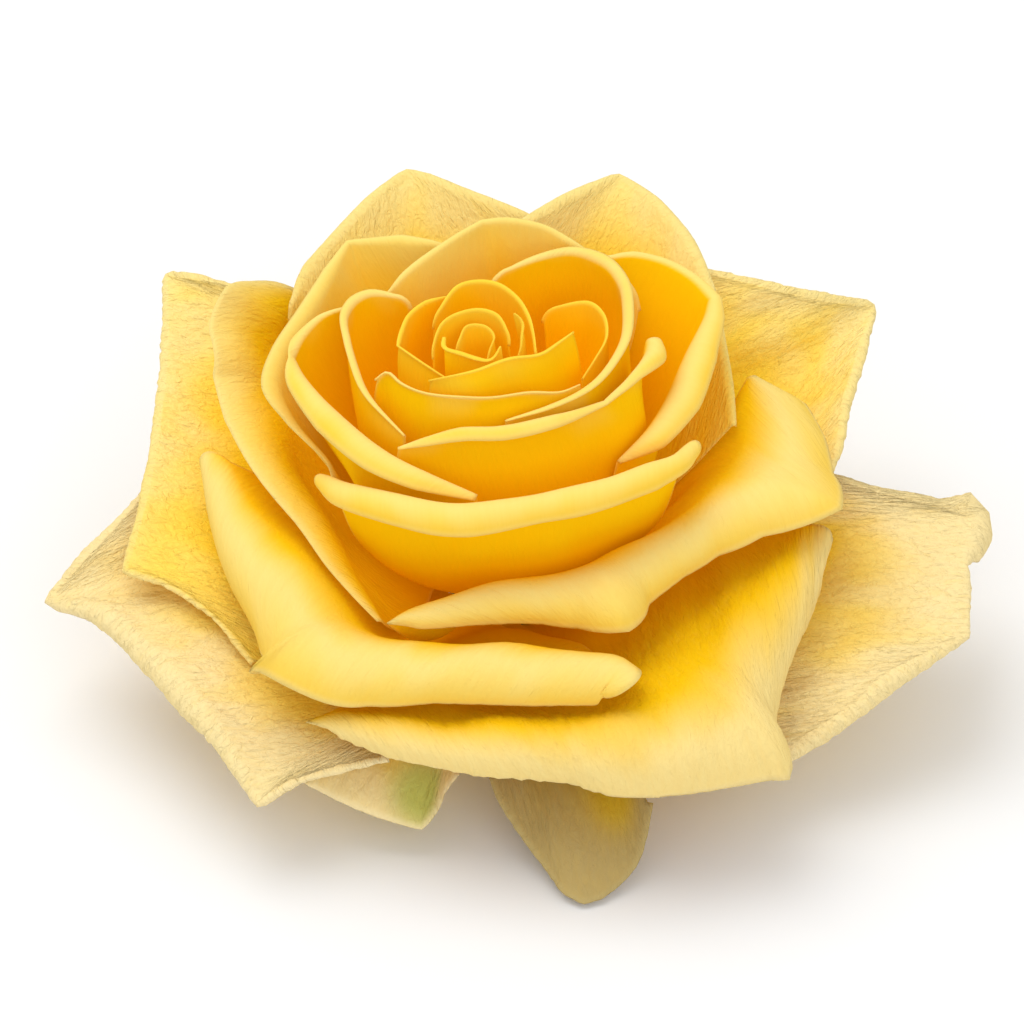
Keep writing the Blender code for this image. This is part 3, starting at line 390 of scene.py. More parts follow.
def dome_point(distance):
    """Radius, height and slope of the normal on a half ellipse, this far along it from the top."""
    angle = np.linspace(0, math.pi / 2, 200)
    radius, height = DOME_RADIUS * np.sin(angle), DOME_BOTTOM + DOME_HEIGHT * np.cos(angle)
    run = np.concatenate([[0], np.cumsum(np.hypot(np.diff(radius), np.diff(height)))])
    at = np.interp(distance, run, angle)
    slope = math.atan2(DOME_RADIUS * math.cos(at), DOME_HEIGHT * math.sin(at))
    return DOME_RADIUS * math.sin(at), DOME_BOTTOM + DOME_HEIGHT * math.cos(at), slope


def petal_seats():
    """How far down the dome each petal sits: one step below the lowest petal above it that it meets."""
    middles, seats = [], []
    for petal in PETALS:
        turn = np.degrees(np.unwrap(np.radians([petal.rim[0][0], petal.rim[len(petal.rim) // 2][0],
                                                petal.rim[-1][0]])))
        middle = 0.5 * (turn[0] + turn[-1])
        seat = SEAT_STEP
        for other, taken in zip(middles, seats):
            apart = abs((middle - other + 180) % 360 - 180)
            if apart < 2 * CLAW_ANGLE + CLAW_ROOM:
                seat = max(seat, taken + SEAT_STEP)
        middles.append(middle)
        seats.append(seat)
    return seats


SEATS = petal_seats()

# %% [markdown]
# ## The sheet of one petal
# Below its crest a petal is a fan of meridians, one for each point of the crest. Each is a cubic Bezier
# curve from the seat to the crest, with a handle square to the dome below and one along the arrival slope
# above. Past the crest the lip is an arc that tightens towards its margin, like the end of a scroll.

# %% Petal sheets
SPREAD_END = 0.6
ROW_EASE = 0.85
SOFTNESS = 0.1
ROLL_CURVE = 1.2
RELAX_ZONE = 0.35
FULL_COLUMNS = 61
FLARE_REACH = 3.0


def softened(values, width):
    """The values along the crest, averaged with Gaussian weights, mirrored through each end."""
    k = max(1, int(round(width)))
    x = np.arange(-2 * k, 2 * k + 1)
    weights = np.exp(-0.5 * (x / (0.8 * k)) ** 2)
    before = 2 * values[0] - values[1:2 * k + 1][::-1]
    after = 2 * values[-1] - values[-2 * k - 1:-1][::-1]
    return np.convolve(np.concatenate([before, values, after]), weights / weights.sum(), mode="valid")


def bezier(v, start, first, second, end):
    """(1-v)^3 start + 3v(1-v)^2 first + 3v^2(1-v) second + v^3 end."""
    w = 1 - v
    return w ** 3 * start + 3 * v * w ** 2 * first + 3 * v ** 2 * w * second + v ** 3 * end


def petal_sheet(petal, seat, crest, rows, lip_rows):
    """The middle surface as a grid: Bezier meridians from seat to crest, then a lip on a tightening arc."""
    columns = len(crest)
    top, lip = crest[:, :3], crest[:, 3]
    arrive, wrap = np.radians(crest[:, 4]), np.radians(crest[:, 5])
    x, y = top[:, 0] - axis_shift(top[:, 2]), top[:, 1]
    radius, azimuth = np.hypot(x, y), np.unwrap(np.arctan2(y, x))

    dome_radius, dome_height, slope = dome_point(seat)
    seat_radius = dome_radius + SEAT_GAP * math.cos(slope)
    seat_height = dome_height + SEAT_GAP * math.sin(slope)

    v = (np.linspace(0, 1, rows) ** ROW_EASE)[:, None]
    near = v ** petal.point
    width = SOFTNESS * columns
    r_end, z_end, a_end = (softened(c, width) + (c - softened(c, width)) * near
                           for c in (radius, top[:, 2], azimuth))
    chord = np.hypot(r_end - seat_radius, z_end - seat_height)
    first, second = petal.hold[0] * chord, petal.hold[1] * chord
    r = bezier(v, seat_radius, seat_radius + first * math.cos(slope),
               r_end - second * np.cos(arrive), r_end)
    z = bezier(v, seat_height, seat_height + first * math.sin(slope),
               z_end - second * np.sin(arrive), z_end)
    middle = 0.5 * (azimuth[0] + azimuth[-1])
    half = 0.5 * abs(azimuth[-1] - azimuth[0])
    narrow = min(MOST_CLAW, math.radians(CLAW_ANGLE) / half)
    t = np.clip(v / SPREAD_END, 0, 1)
    turn = middle + (a_end - middle) * (narrow + (1 - narrow) * t * (2 - t))
    body = np.stack([axis_shift(z) + r * np.cos(turn), r * np.sin(turn), z], -1)

    tangent = unit(np.gradient(top, axis=0))
    outward = np.stack([np.cos(azimuth), np.sin(azimuth), np.zeros(columns)], 1)
    rise = np.cos(arrive)[:, None] * outward + np.sin(arrive)[:, None] * np.array([0, 0, 1])
    under = np.sin(arrive)[:, None] * outward - np.cos(arrive)[:, None] * np.array([0, 0, 1])
    onward = unit(rise - (rise * tangent).sum(1, keepdims=True) * tangent)
    aside = np.cross(onward, tangent)
    aside *= np.sign((aside * under).sum(1, keepdims=True))
    fine = np.linspace(0, 1, 8 * lip_rows + 1)
    bend = wrap[:, None] * fine ** ROLL_CURVE
    step = (fine[1] * lip)[:, None]
    along, down = (np.cumsum(0.5 * (f(bend[:, 1:]) + f(bend[:, :-1])) * step, 1)[:, 7::8].T[:, :, None]
                   for f in (np.cos, np.sin))
    run = run_along(top)
    near_end = np.exp((run - run[-1]) / FLARE_REACH) - np.exp(-run / FLARE_REACH)
    t = (np.arange(1, lip_rows + 1) / lip_rows)[:, None, None]
    bulge = petal.flare * 4 * t * (1 - t) * near_end[:, None] * tangent
    sheet = np.concatenate([body, top + along * onward + down * aside + bulge])

    passes = int(round(petal.relax * (columns / FULL_COLUMNS) ** 2))
    under_crest = (rows - 1 - np.arange(len(sheet))) / (RELAX_ZONE * rows)
    weight = 0.5 * np.clip(under_crest, 0, 1)[:, None, None]
    for _ in range(passes):
        mean = 0.5 * (sheet[:, 2:] + sheet[:, :-2])
        sheet[:, 1:-1] += weight * (mean - sheet[:, 1:-1])
    return sheet


# %% [markdown]
# ## Making room between petals
# Petals are packed close, and sheets drawn one by one would cross. Each petal is laid over those inside it:
# wherever its body comes nearer to one than the spacing, it is moved out along its own normal. This is done
# on coarse sheets, the same ones that the solids have, so the fine sheets keep the solids' form.

# %% Settling
COLUMN_LENGTH = 4.4
LEAST_COLUMNS = 8
MOST_COLUMNS = 20
FEW_ROWS = 6
SHORT_RIM = 30.0
LIP_STEPS = (1.3, 3.0, 6.0)
SPACING = 1.15
REACH = 5.0
STEEP = 0.3
PUSH_SHARE = 0.7
LEAST_PUSH = 0.05
SETTLE_ROUNDS = 10
CELL_SPLIT = 4


def grid_at(grid, rows, columns):
    """The grid read at fractional rows and columns, by straight lines between its points."""
    i = np.clip(rows.astype(int), 0, grid.shape[0] - 2)
    j = np.clip(columns.astype(int), 0, grid.shape[1] - 2)
    s, t = (rows - i)[:, None, None], (columns - j)[None, :, None]
    low = grid[i][:, j] * (1 - t) + grid[i][:, j + 1] * t
    high = grid[i + 1][:, j] * (1 - t) + grid[i + 1][:, j + 1] * t
    return low * (1 - s) + high * s


def refined(grid, split):
    """The grid with every cell split into so many each way."""
    return grid_at(grid, np.linspace(0, grid.shape[0] - 1, (grid.shape[0] - 1) * split + 1),
                   np.linspace(0, grid.shape[1] - 1, (grid.shape[1] - 1) * split + 1))


def sheet_normals(sheet):
    """Across times upward at every point, which faces away from the bud."""
    return unit(np.cross(np.gradient(sheet, axis=1), np.gradient(sheet, axis=0)))


def neighbourhoods(grid, mode):
    """The grid and its eight copies shifted by a cell, as a list."""
    padded = np.pad(grid, 1, mode=mode)
    return [padded[1 + i:padded.shape[0] - 1 + i, 1 + j:padded.shape[1] - 1 + j]
            for i in (-1, 0, 1) for j in (-1, 0, 1)]


def needed_push(spots, ways, inner, slopes):
    """How much of the spacing each spot lacks over the nearest point of an inner sheet."""
    apart = (spots ** 2).sum(1)[:, None] + (inner ** 2).sum(1) - 2 * spots @ inner.T
    nearest = apart.argmin(1)
    offset = spots - inner[nearest]
    gap = np.linalg.norm(offset, axis=1)
    facing = (slopes[nearest] * ways).sum(1)
    slope = slopes[nearest] * np.where(facing < 0, -1, 1)[:, None]
    height = (offset * slope).sum(1)
    aside = np.linalg.norm(offset - height[:, None] * slope, axis=1)
    push = np.where(aside < SPACING, SPACING - height, 0)
    push = np.where(abs(facing) < STEEP, SPACING - gap, push)
    return np.where(gap < REACH, np.maximum(push, 0), 0)


def settle(sheet, body_rows, inside):
    """The sheet moved outward, in rounds, by the largest push that its nearest neighbours ask for."""
    sheet = sheet.copy()
    normals = sheet_normals(sheet[:body_rows])
    ways = unit(refined(normals, 2)).reshape(-1, 3)
    for _ in range(SETTLE_ROUNDS):
        spots = refined(sheet[:body_rows], 2)
        flat = spots.reshape(-1, 3)
        low, high = flat.min(0) - REACH, flat.max(0) + REACH
        push = np.zeros(len(flat))
        for inner, slopes in inside:
            near = np.all((inner > low) & (inner < high), axis=1)
            if near.any():
                push = np.maximum(push, needed_push(flat, ways, inner[near], slopes[near]))
        if push.max() < LEAST_PUSH:
            break
        push = push.reshape(spots.shape[:2])
        at_nodes = np.max(neighbourhoods(push, "constant"), axis=0)[::2, ::2]
        soft = np.maximum(at_nodes, np.mean(neighbourhoods(at_nodes, "edge"), axis=0))
        move = PUSH_SHARE * soft[..., None] * normals
        sheet[:body_rows] += move
        sheet[body_rows:] += move[-1]
    return sheet


def settled_moves():
    """For every petal, how far its coarse body's points move, and where its columns lie on the crest."""
    moves, inside = [], []
    for petal, seat in zip(PETALS, SEATS):
        columns = int(np.clip(round(crest_length(petal) / COLUMN_LENGTH), LEAST_COLUMNS, MOST_COLUMNS))
        rows = FEW_ROWS + (crest_length(petal) >= SHORT_RIM)
        crest = crest_line(petal, columns)
        widest_lip = crest_line(petal, MEASURING_COLUMNS)[:, 3].max()
        lip_rows = 1 + sum(widest_lip >= step for step in LIP_STEPS)
        free = petal_sheet(petal, seat, crest, rows, lip_rows)
        sheet = settle(free, rows, inside)
        run = run_along(crest)
        moves.append(((sheet - free)[:rows], run / run[-1]))
        fine = refined(sheet, CELL_SPLIT)
        inside.append((fine.reshape(-1, 3), sheet_normals(fine).reshape(-1, 3)))
    return moves


MOVES = settled_moves()

# %% [markdown]
# ## The fine sheet
# Living petals are never smooth. Their margins ruffle, their faces swell between the veins, and the oldest
# ones are crinkled like crepe paper. All three are sums of sine waves with seeded phases, so they look
# random, but come out the same each time.

# %% Fine sheets
CREST_STEP, BODY_STEP, LIP_STEP = 0.5, 0.8, 0.6
FINE_COLUMNS, FINE_ROWS, FINE_LIP_ROWS = (44, 170), (36, 72), (4, 20)
# how many waves, and their length across and along the petal, in mm
RUFFLE, SWELL, CREPE = (9, 12.0, 60.0), (12, 14.0, 22.0), (26, 1.7, 6.5)
RUFFLE_REACH = 5.0
SWELL_BELOW, SWELL_ABOVE = 12, 9
CREPE_FROM, CREPE_FADE = 12, 16
SIDE_RIM = 0.6
Surface = namedtuple("Surface", "ruffle swell crepe base_thickness rim_thickness")
SURFACES = {
    "heart": Surface(0.02, 0.04, 0, 0.42, 0.14),
    "inner": Surface(0.04, 0.06, 0, 0.42, 0.14),
    "middle": Surface(0.05, 0.1, 0.01, 0.45, 0.14),
    "outer": Surface(0.08, 0.18, 0.05, 0.45, 0.14),
}
SURFACES["back"] = SURFACES["outer"]


def blurred(field, rows, columns):
    """The field averaged with its neighbours so many times along each way, its edges held."""
    for _ in range(rows):
        field[1:-1] = 0.25 * field[:-2] + 0.5 * field[1:-1] + 0.25 * field[2:]
    for _ in range(columns):
        field[:, 1:-1] = 0.25 * field[:, :-2] + 0.5 * field[:, 1:-1] + 0.25 * field[:, 2:]
    return field


def waves(u, v, rng, count, u_length, v_length):
    """A sum of count sine waves over (u, v), with lengths spread round those given, scaled to about 1."""
    u_rate = 2 * math.pi / (u_length * rng.uniform(0.6, 1.7, count)) * rng.choice([-1, 1], count)
    v_rate = 2 * math.pi / (v_length * rng.uniform(0.6, 1.7, count))
    phase = rng.uniform(0, 2 * math.pi, count)
    total = sum(np.sin(a * u + b * v + c) for a, b, c in zip(u_rate, v_rate, phase))
    return total / math.sqrt(count / 2)


def fine_petal(petal, index):
    """The petal's fine middle surface, with each point's place across, along and from the margin in mm."""
    surface = SURFACES[petal.name.split("_")[0]]
    move, stations = MOVES[index]
    columns = int(np.clip(crest_length(petal) / CREST_STEP, *FINE_COLUMNS))
    crest = crest_line(petal, columns)
    run = run_along(crest)
    reach = np.linalg.norm(crest[:, :3] - (0, 0, DOME_BOTTOM + DOME_HEIGHT), axis=1).max()
    rows = int(np.clip(reach / BODY_STEP, *FINE_ROWS))
    lip_rows = int(np.clip(crest[:, 3].max() / LIP_STEP, *FINE_LIP_ROWS))
    sheet = petal_sheet(petal, SEATS[index], crest, rows, lip_rows)

    v_coarse = np.linspace(0, 1, len(move)) ** ROW_EASE
    v_fine = np.linspace(0, 1, rows) ** ROW_EASE
    at_rows = np.interp(v_fine, v_coarse, np.arange(len(move)))
    at_columns = np.interp(run / run[-1], stations, np.arange(len(stations)))
    shift = blurred(grid_at(move, at_rows, at_columns), rows // 3, columns // 3)
    sheet[:rows] += shift
    sheet[rows:] += shift[-1]

    across = np.linalg.norm(np.diff(sheet, axis=1), axis=-1)
    upward = np.linalg.norm(np.diff(sheet, axis=0), axis=-1)
    u = np.concatenate([np.zeros((len(sheet), 1)), np.cumsum(across, 1)], 1)
    u = u - u[:, columns // 2:columns // 2 + 1]
    v = np.concatenate([np.zeros((1, columns)), np.cumsum(upward, 0)])
    from_top = v[-1] - v
    from_side = np.minimum(u - u[:, :1], u[:, -1:] - u)
    rim = np.minimum(from_top, SIDE_RIM + from_side)

    rng = np.random.default_rng(1000 + index)
    crest_run = run[None, :] + 0 * v
    ruffle = waves(crest_run, v, rng, *RUFFLE) * np.exp(-rim / RUFFLE_REACH) * surface.ruffle
    inside = np.clip(v / SWELL_BELOW, 0, 1) * np.clip(from_top / SWELL_ABOVE, 0, 1)
    swell = waves(u, v, rng, *SWELL) * inside * surface.swell
    crepe = waves(u, v, rng, *CREPE) * np.clip((v - CREPE_FROM) / CREPE_FADE, 0, 1) * surface.crepe
    sheet = sheet + (ruffle + swell + crepe)[..., None] * sheet_normals(sheet)
    thickness = np.interp(rim, (0, 3, 20), (surface.rim_thickness, 0.3, surface.base_thickness))
    return sheet, u, v, rim, thickness, rows


# %% [markdown]
# ## Two faces and an edge
# A sheet becomes a closed shell: one copy moved out by half the thickness, one moved in, and a strip round
# the margin that joins them. Every point also carries numbers that the petal's colour is mixed from.

# %% Shells
def shell(sheet, thickness):
    """Points and faces of the closed shell, all faces pointing out, with the margin's strip last."""
    rows, columns = sheet.shape[:2]
    half = 0.5 * thickness[..., None] * sheet_normals(sheet)
    points = np.concatenate([(sheet + half).reshape(-1, 3), (sheet - half).reshape(-1, 3)]) * MM
    count = rows * columns
    i = np.arange(count).reshape(rows, columns)
    outer = np.stack([i[:-1, :-1], i[:-1, 1:], i[1:, 1:], i[1:, :-1]], -1).reshape(-1, 4)
    loop = np.concatenate([i[0, :-1], i[:-1, -1], i[-1, :0:-1], i[:0:-1, 0]])
    onward = np.roll(loop, -1)
    strip = np.stack([onward, loop, loop + count, onward + count], -1)
    return points, np.concatenate([outer, outer[:, ::-1] + count, strip])


def petal_mesh(name, sheet, thickness, values):
    """The shell as a mesh: both faces smooth, the margin flat, and the values kept as attributes."""
    points, faces = shell(sheet, thickness)
    mesh = bpy.data.meshes.new(name)
    mesh.from_pydata(points.tolist(), [], faces.tolist())
    for key, value in values.items():
        field = mesh.attributes.new(key, "FLOAT", "POINT")
        field.data.foreach_set("value", np.tile(np.ravel(value), 2).astype(np.float32))
    on_faces = 2 * (sheet.shape[0] - 1) * (sheet.shape[1] - 1)
    mesh.polygons.foreach_set("use_smooth", np.arange(len(faces)) < on_faces)
    return mesh


def add_sheet_map(mesh, u, v):
    """A UV map in millimetres along the petal, the same on both faces."""
    flat = np.stack([np.tile(u.ravel(), 2), np.tile(v.ravel(), 2)], 1)
    corners = np.empty(len(mesh.loops), np.int32)
    mesh.loops.foreach_get("vertex_index", corners)
    layer = mesh.uv_layers.new(name="petal_mm")
    layer.data.foreach_set("uv", flat[corners].astype(np.float32).ravel())


# %% [markdown]
# ## Petal colour
# A petal is deep golden where it grows, clear yellow in the middle and cream at its rim. The ramps are read
# along the petal, and high petals pale sooner than low ones. Where a lip rolls under, its cream turns
# golden again towards the margin, which is painted shade on the lip's underside. The thin rim gets a last
# pale line, partly its own paler edge and partly a painted highlight. The old outer petals are finely
# folded, with painted shade in the hollows of the folds. Light that has passed through its neighbours makes
# a petal glow warmly near its seat, and a faint emission paints that glow.

# %% Petal finish
# base, body, pale, rim: the petal's colours from its seat to its margin, as linear RGB
# body_from to pale_to: where along the petal they change; the seat is at 0, the crest at 1, the margin at 2
# rim_width: how wide the rim's pale line is, in mm; it is partly the rim's own colour, partly a painted
# highlight
# glow: how strongly the painted glow near the seat shines, an emission standing for light passed through
# petals
# under: how far the pale part turns golden again towards the margin: painted shade on a rolled lip's
# underside
# low, high: heights in mm between which the pale part comes in
Tint = namedtuple("Tint", "base body pale rim body_from body_to pale_from pale_to "
                          "rim_width glow under low high", defaults=(0, -2, -1))
TINTS = {
    "heart": Tint((0.96, 0.5, 0), (0.97, 0.59, 0.002), (0.96, 0.63, 0.04), (0.96, 0.65, 0.06),
        0.3, 0.95, 0.8, 1.2, 1, 0.14),
    "inner": Tint((0.96, 0.49, 0), (0.97, 0.59, 0.003), (0.95, 0.7, 0.19), (0.94, 0.72, 0.24),
        0.35, 0.95, 0.95, 1.3, 1.2, 0.08, 0.75),
    "fold": Tint((0.95, 0.48, 0), (0.95, 0.59, 0.008), (0.9, 0.66, 0.14), (0.93, 0.71, 0.22),
        0.3, 0.85, 0.6, 1.1, 1.4, 0.07),
    "middle": Tint((0.94, 0.44, 0), (0.95, 0.58, 0.006), (0.92, 0.71, 0.22), (0.92, 0.72, 0.28),
        0.2, 0.9, 1, 1.5, 1.2, 0.05, 0.6),
    "crown": Tint((0.94, 0.52, 0.001), (0.94, 0.62, 0.012), (0.9, 0.71, 0.25), (0.9, 0.73, 0.31),
        0.15, 0.65, 0.6, 1, 1.2, 0.05, 0, 35, 44),
    "golden": Tint((0.94, 0.46, 0), (0.95, 0.6, 0.006), (0.92, 0.7, 0.2), (0.92, 0.72, 0.26),
        0.2, 1, 1.3, 2, 1.4, 0.05, 0, 26, 38),
    # this petal's base and body are a little darker than the others': painted shade from the roll that
    # hangs over it
    "turned": Tint((0.9, 0.41, 0), (0.9, 0.54, 0.005), (0.92, 0.71, 0.27), (0.92, 0.73, 0.34),
        0.2, 1, 1.1, 1.75, 1.2, 0.03),
    "sunny": Tint((0.94, 0.52, 0.002), (0.95, 0.64, 0.02), (0.94, 0.75, 0.3), (0.93, 0.76, 0.38),
        0.15, 0.6, 0.6, 1.1, 1, 0.12, 0, 16, 32),
    "outer": Tint((0.93, 0.48, 0.002), (0.94, 0.62, 0.03), (0.92, 0.74, 0.36), (0.92, 0.75, 0.42),
        0.15, 0.6, 0.5, 1, 1, 0.03),
    # the low hanging petal's colours, darkened to olive brown: painted shade beneath the bloom
    "tongue": Tint((0.58, 0.34, 0.01), (0.5, 0.35, 0.08), (0.5, 0.37, 0.14), (0.53, 0.41, 0.17),
        0.2, 0.5, 0.5, 0.9, 1, 0),
}
TINTS["back"] = TINTS["outer"]
# the colour painted into the hollows between folds: painted shade
FOLD_SHADE_COLOUR = (0.88, 0.60, 0.11)
# colours of the painted glow: warm near the seat, dim out towards the margin
GLOW = (1.0, 0.60, 0.0)
DIM_GLOW = (0.1, 0.05, 0)
# noise on the petal: grains of so many mm across and along, then octaves and twist
MOTTLE, VEINS, FINE_VEINS = (9.0, 12.0, 1.0), (0.7, 5.0, 1.0), (0.5, 3.0, 1.0)
SMALL_FOLDS, LARGE_FOLDS = (0.7, 1.4, 2.0, 1.2), (1.8, 3.2, 1.0, 1.5)
MOTTLE_SHIFT = 0.08
VEIN_RELIEF = 0.15
RELIEF_DEPTH = 0.00045
PETAL_ROUGHNESS = 0.6
PETAL_SHEEN = 0.02


class Nodes:
    """A new material's node tree, with a short way to add and link nodes."""

    def __init__(self, name):
        self.material = bpy.data.materials.new(name)
        self.material.use_nodes = True
        self.tree = self.material.node_tree
        self.shader = self.tree.nodes["Principled BSDF"]

    def add(self, kind, links=None, **values):
        """A node with properties set by name, and sockets linked or filled from a dictionary."""
        node = self.tree.nodes.new(kind)
        for key, value in values.items():
            setattr(node, key, value)
        for key, value in (links or {}).items():
            if isinstance(value, bpy.types.NodeSocket):
                self.tree.links.new(value, node.inputs[key])
            else:
                node.inputs[key].default_value = value
        return node

    def attribute(self, name):
        """The value of a point attribute."""
        return self.add("ShaderNodeAttribute", attribute_name=name).outputs["Fac"]

    def spread(self, value, low, high, new_low=0.0, new_high=1.0):
        """The value mapped from one range to another, with soft ends."""
        node = self.add("ShaderNodeMapRange", {"Value": value, "From Min": low, "From Max": high,
                                               "To Min": new_low, "To Max": new_high})
        node.interpolation_type = "SMOOTHSTEP"
        return node.outputs["Result"]

    def math(self, operation, a, b):
        """One operation on two values."""
        return self.add("ShaderNodeMath", {0: a, 1: b}, operation=operation).outputs[0]

    def blend(self, amount, a, b, mode="MIX"):
        """Colour a turned towards colour b by an amount."""
        node = self.add("ShaderNodeMix", data_type="RGBA", blend_type=mode)
        for key, value in ((0, amount), (6, a), (7, b)):
            if isinstance(value, bpy.types.NodeSocket):
                self.tree.links.new(value, node.inputs[key])
            else:
                node.inputs[key].default_value = (*value, 1) if key else value
        return node.outputs[2]

    def streaks(self, vector, u_mm, v_mm, detail=3.0, twist=0.4):
        """Noise on the petal's own map, with grains of so many millimetres across and along."""
        scaled = self.add("ShaderNodeMapping", {"Vector": vector, "Scale": (1 / u_mm, 1 / v_mm, 1)})
        noise = self.add("ShaderNodeTexNoise", {"Vector": scaled.outputs[0], "Scale": 1.0, "Detail": detail,
                                                "Roughness": 0.6, "Distortion": twist})
        return noise.outputs["Fac"]

    def dress(self, colour, relief, strength, depth, roughness):
        """The material, once its shader has a colour, a relief and a roughness."""
        bump = self.add("ShaderNodeBump", {"Height": relief, "Strength": strength, "Distance": depth})
        self.tree.links.new(bump.outputs[0], self.shader.inputs["Normal"])
        self.tree.links.new(colour, self.shader.inputs["Base Color"])
        self.shader.inputs["Roughness"].default_value = roughness
        return self.material


def petal_finish(name, tint, crinkle, patch=None):
    """A petal's material: ramps along the petal, a pale rim, faint veins, painted shade in the hollows of
    its folds, bump from veins and folds, and a painted glow.
    """
    nodes = Nodes(name)
    place = nodes.add("ShaderNodeUVMap", uv_map="petal_mm").outputs[0]
    rise, rim = nodes.attribute("rise"), nodes.attribute("rim")

    mottle = nodes.spread(nodes.streaks(place, *MOTTLE), 0.3, 0.7, -MOTTLE_SHIFT, MOTTLE_SHIFT)
    at = nodes.math("ADD", rise, mottle)
    colour = nodes.blend(nodes.spread(at, tint.body_from, tint.body_to), tint.base, tint.body)
    own_place = nodes.add("ShaderNodeTexCoord").outputs["Object"]
    height = nodes.add("ShaderNodeSeparateXYZ", {0: own_place}).outputs["Z"]
    # towards the margin the pale part turns golden again by tint.under: painted shade on the underside of a
    # rolled lip
    paling = nodes.math("MULTIPLY", nodes.spread(at, tint.pale_from, tint.pale_to),
                        nodes.spread(at, 1.4, 2.0, 1.0, 1.0 - tint.under))
    paling = nodes.math("MULTIPLY", paling, nodes.spread(height, tint.low * MM, tint.high * MM, 0.3, 1.0))
    colour = nodes.blend(paling, colour, tint.pale)
    veins = nodes.spread(nodes.streaks(place, *VEINS), 0.35, 0.65, 0.0, 0.05)
    colour = nodes.blend(veins, colour, tint.base)
    folds = nodes.math("ADD", nodes.streaks(place, *SMALL_FOLDS), nodes.streaks(place, *LARGE_FOLDS))
    grown = nodes.spread(rise, 0.3, 0.9, 0.15 * crinkle, crinkle)
    # the hollows between folds are painted darker: painted shade, on top of the bump
    fold_shade_amount = nodes.math("MULTIPLY", nodes.spread(folds, 1.0, 0.7, 0.0, 0.16), grown)
    colour = nodes.blend(fold_shade_amount, colour, FOLD_SHADE_COLOUR)
    if patch:
        cover = nodes.spread(nodes.attribute("patch"), 0.1, 0.9, 0.0, patch[1])
        colour = nodes.blend(cover, colour, patch[0])
    # a pale line along the margin: partly the petal's own paler edge, partly a painted highlight
    colour = nodes.blend(nodes.spread(rim, 0.0, tint.rim_width, 0.6, 0.0), colour, tint.rim)
    # painted glow: an emission, strongest near the seat, standing for light passed through the petals round
    # it
    glow = nodes.blend(nodes.spread(at, 0.4, 1.5), GLOW, DIM_GLOW)
    nodes.tree.links.new(glow, nodes.shader.inputs["Emission Color"])
    nodes.shader.inputs["Emission Strength"].default_value = tint.glow
    nodes.shader.inputs["Specular IOR Level"].default_value = PETAL_SHEEN

    vein_relief = nodes.math("MULTIPLY", nodes.streaks(place, *FINE_VEINS), VEIN_RELIEF)
    relief = nodes.math("ADD", vein_relief, nodes.math("MULTIPLY", folds, grown))
    return nodes.dress(colour, relief, 1.0, RELIEF_DEPTH, PETAL_ROUGHNESS)


# a patch's colour, and how much of it covers the petal
GREEN_PATCH = ((0.50, 0.56, 0.12), 0.85)
ORANGE_FOLD = ((0.66, 0.42, 0.01), 0.85)
# how strongly each finish is folded, in bump and in the painted shade of its fold hollows
CRINKLES = {"outer": 0.85, "back": 0.85, "sunny": 0.85, "crown": 0.55, "turned": 0.35, "golden": 0.35,
            "middle": 0.2, "fold": 0.1}
FINISH_OF = {key: petal_finish(key + " petal", tint, CRINKLES.get(key, 0)) for key, tint in TINTS.items()}
# petals that differ from their kind
OWN_TINT = {"middle_petal_1": "crown", "middle_petal_2": "crown", "outer_petal_2": "turned",
            "inner_petal_6": "fold", "inner_petal_9": "fold", "middle_petal_3": "golden",
            "outer_petal_1": "sunny", "outer_petal_3": "sunny"}
OWN_FINISH = {"outer_petal_6": petal_finish("green tinged petal", TINTS["outer"], 0.4, GREEN_PATCH),
              # outer_petal_7 gets the darkened colours of the low hanging petal: painted shade beneath the
              # bloom
              "outer_petal_7": petal_finish("dull low petal", TINTS["tongue"], 0.3, ORANGE_FOLD)}
# where the patches lie: shares of the petal's size, across from its middle and along, and a radius in mm
PATCHES = {"outer_petal_6": (0.11, 0.80, 5.0), "outer_petal_7": (0.24, 0.70, 6.0)}

# %% [markdown]
# ## Growing the petals
# Each fine petal stands for the solid of the same number, which it hides, and rides on the one body.


def grow(petal, index):
    """One petal: fine sheet, shell, map and finish, on the one body, with its solid hidden."""
    kind = petal.name.split("_")[0]
    finish = OWN_TINT.get(petal.name, kind)
    sheet, u, v, rim, thickness, rows = fine_petal(petal, index)
    body = np.linspace(0, 1, rows)
    rise = np.concatenate([body, 1 + np.linspace(0, 1, len(sheet) - rows + 1)[1:]])[:, None] + 0 * u
    values = {"rise": rise, "rim": rim}
    if petal.name in PATCHES:
        across, along, size = PATCHES[petal.name]
        values["patch"] = np.exp(-np.hypot(u - across * np.ptp(u), v - along * v.max()) ** 2 / size ** 2)
    mesh = petal_mesh(petal.name + "_fine", sheet, thickness, values)
    add_sheet_map(mesh, u + 40 * index, v)
    mesh.materials.append(OWN_FINISH.get(petal.name, FINISH_OF[finish]))
    piece = bpy.data.objects.new(petal.name + "_fine", mesh)
    bpy.context.scene.collection.objects.link(piece)
    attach(piece, "root")
    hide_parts(petal.name)
    return len(mesh.polygons) * 2


triangles = sum(grow(petal, index) for index, petal in enumerate(PETALS))
print("the petals have", triangles, "triangles")

# %% [markdown]
# ## The calyx
# Under the bloom sits the green hip on its cut stub, with five sepals bent down. The body is one turned
# profile, and each sepal is a long pointed sheet with a raised midrib.

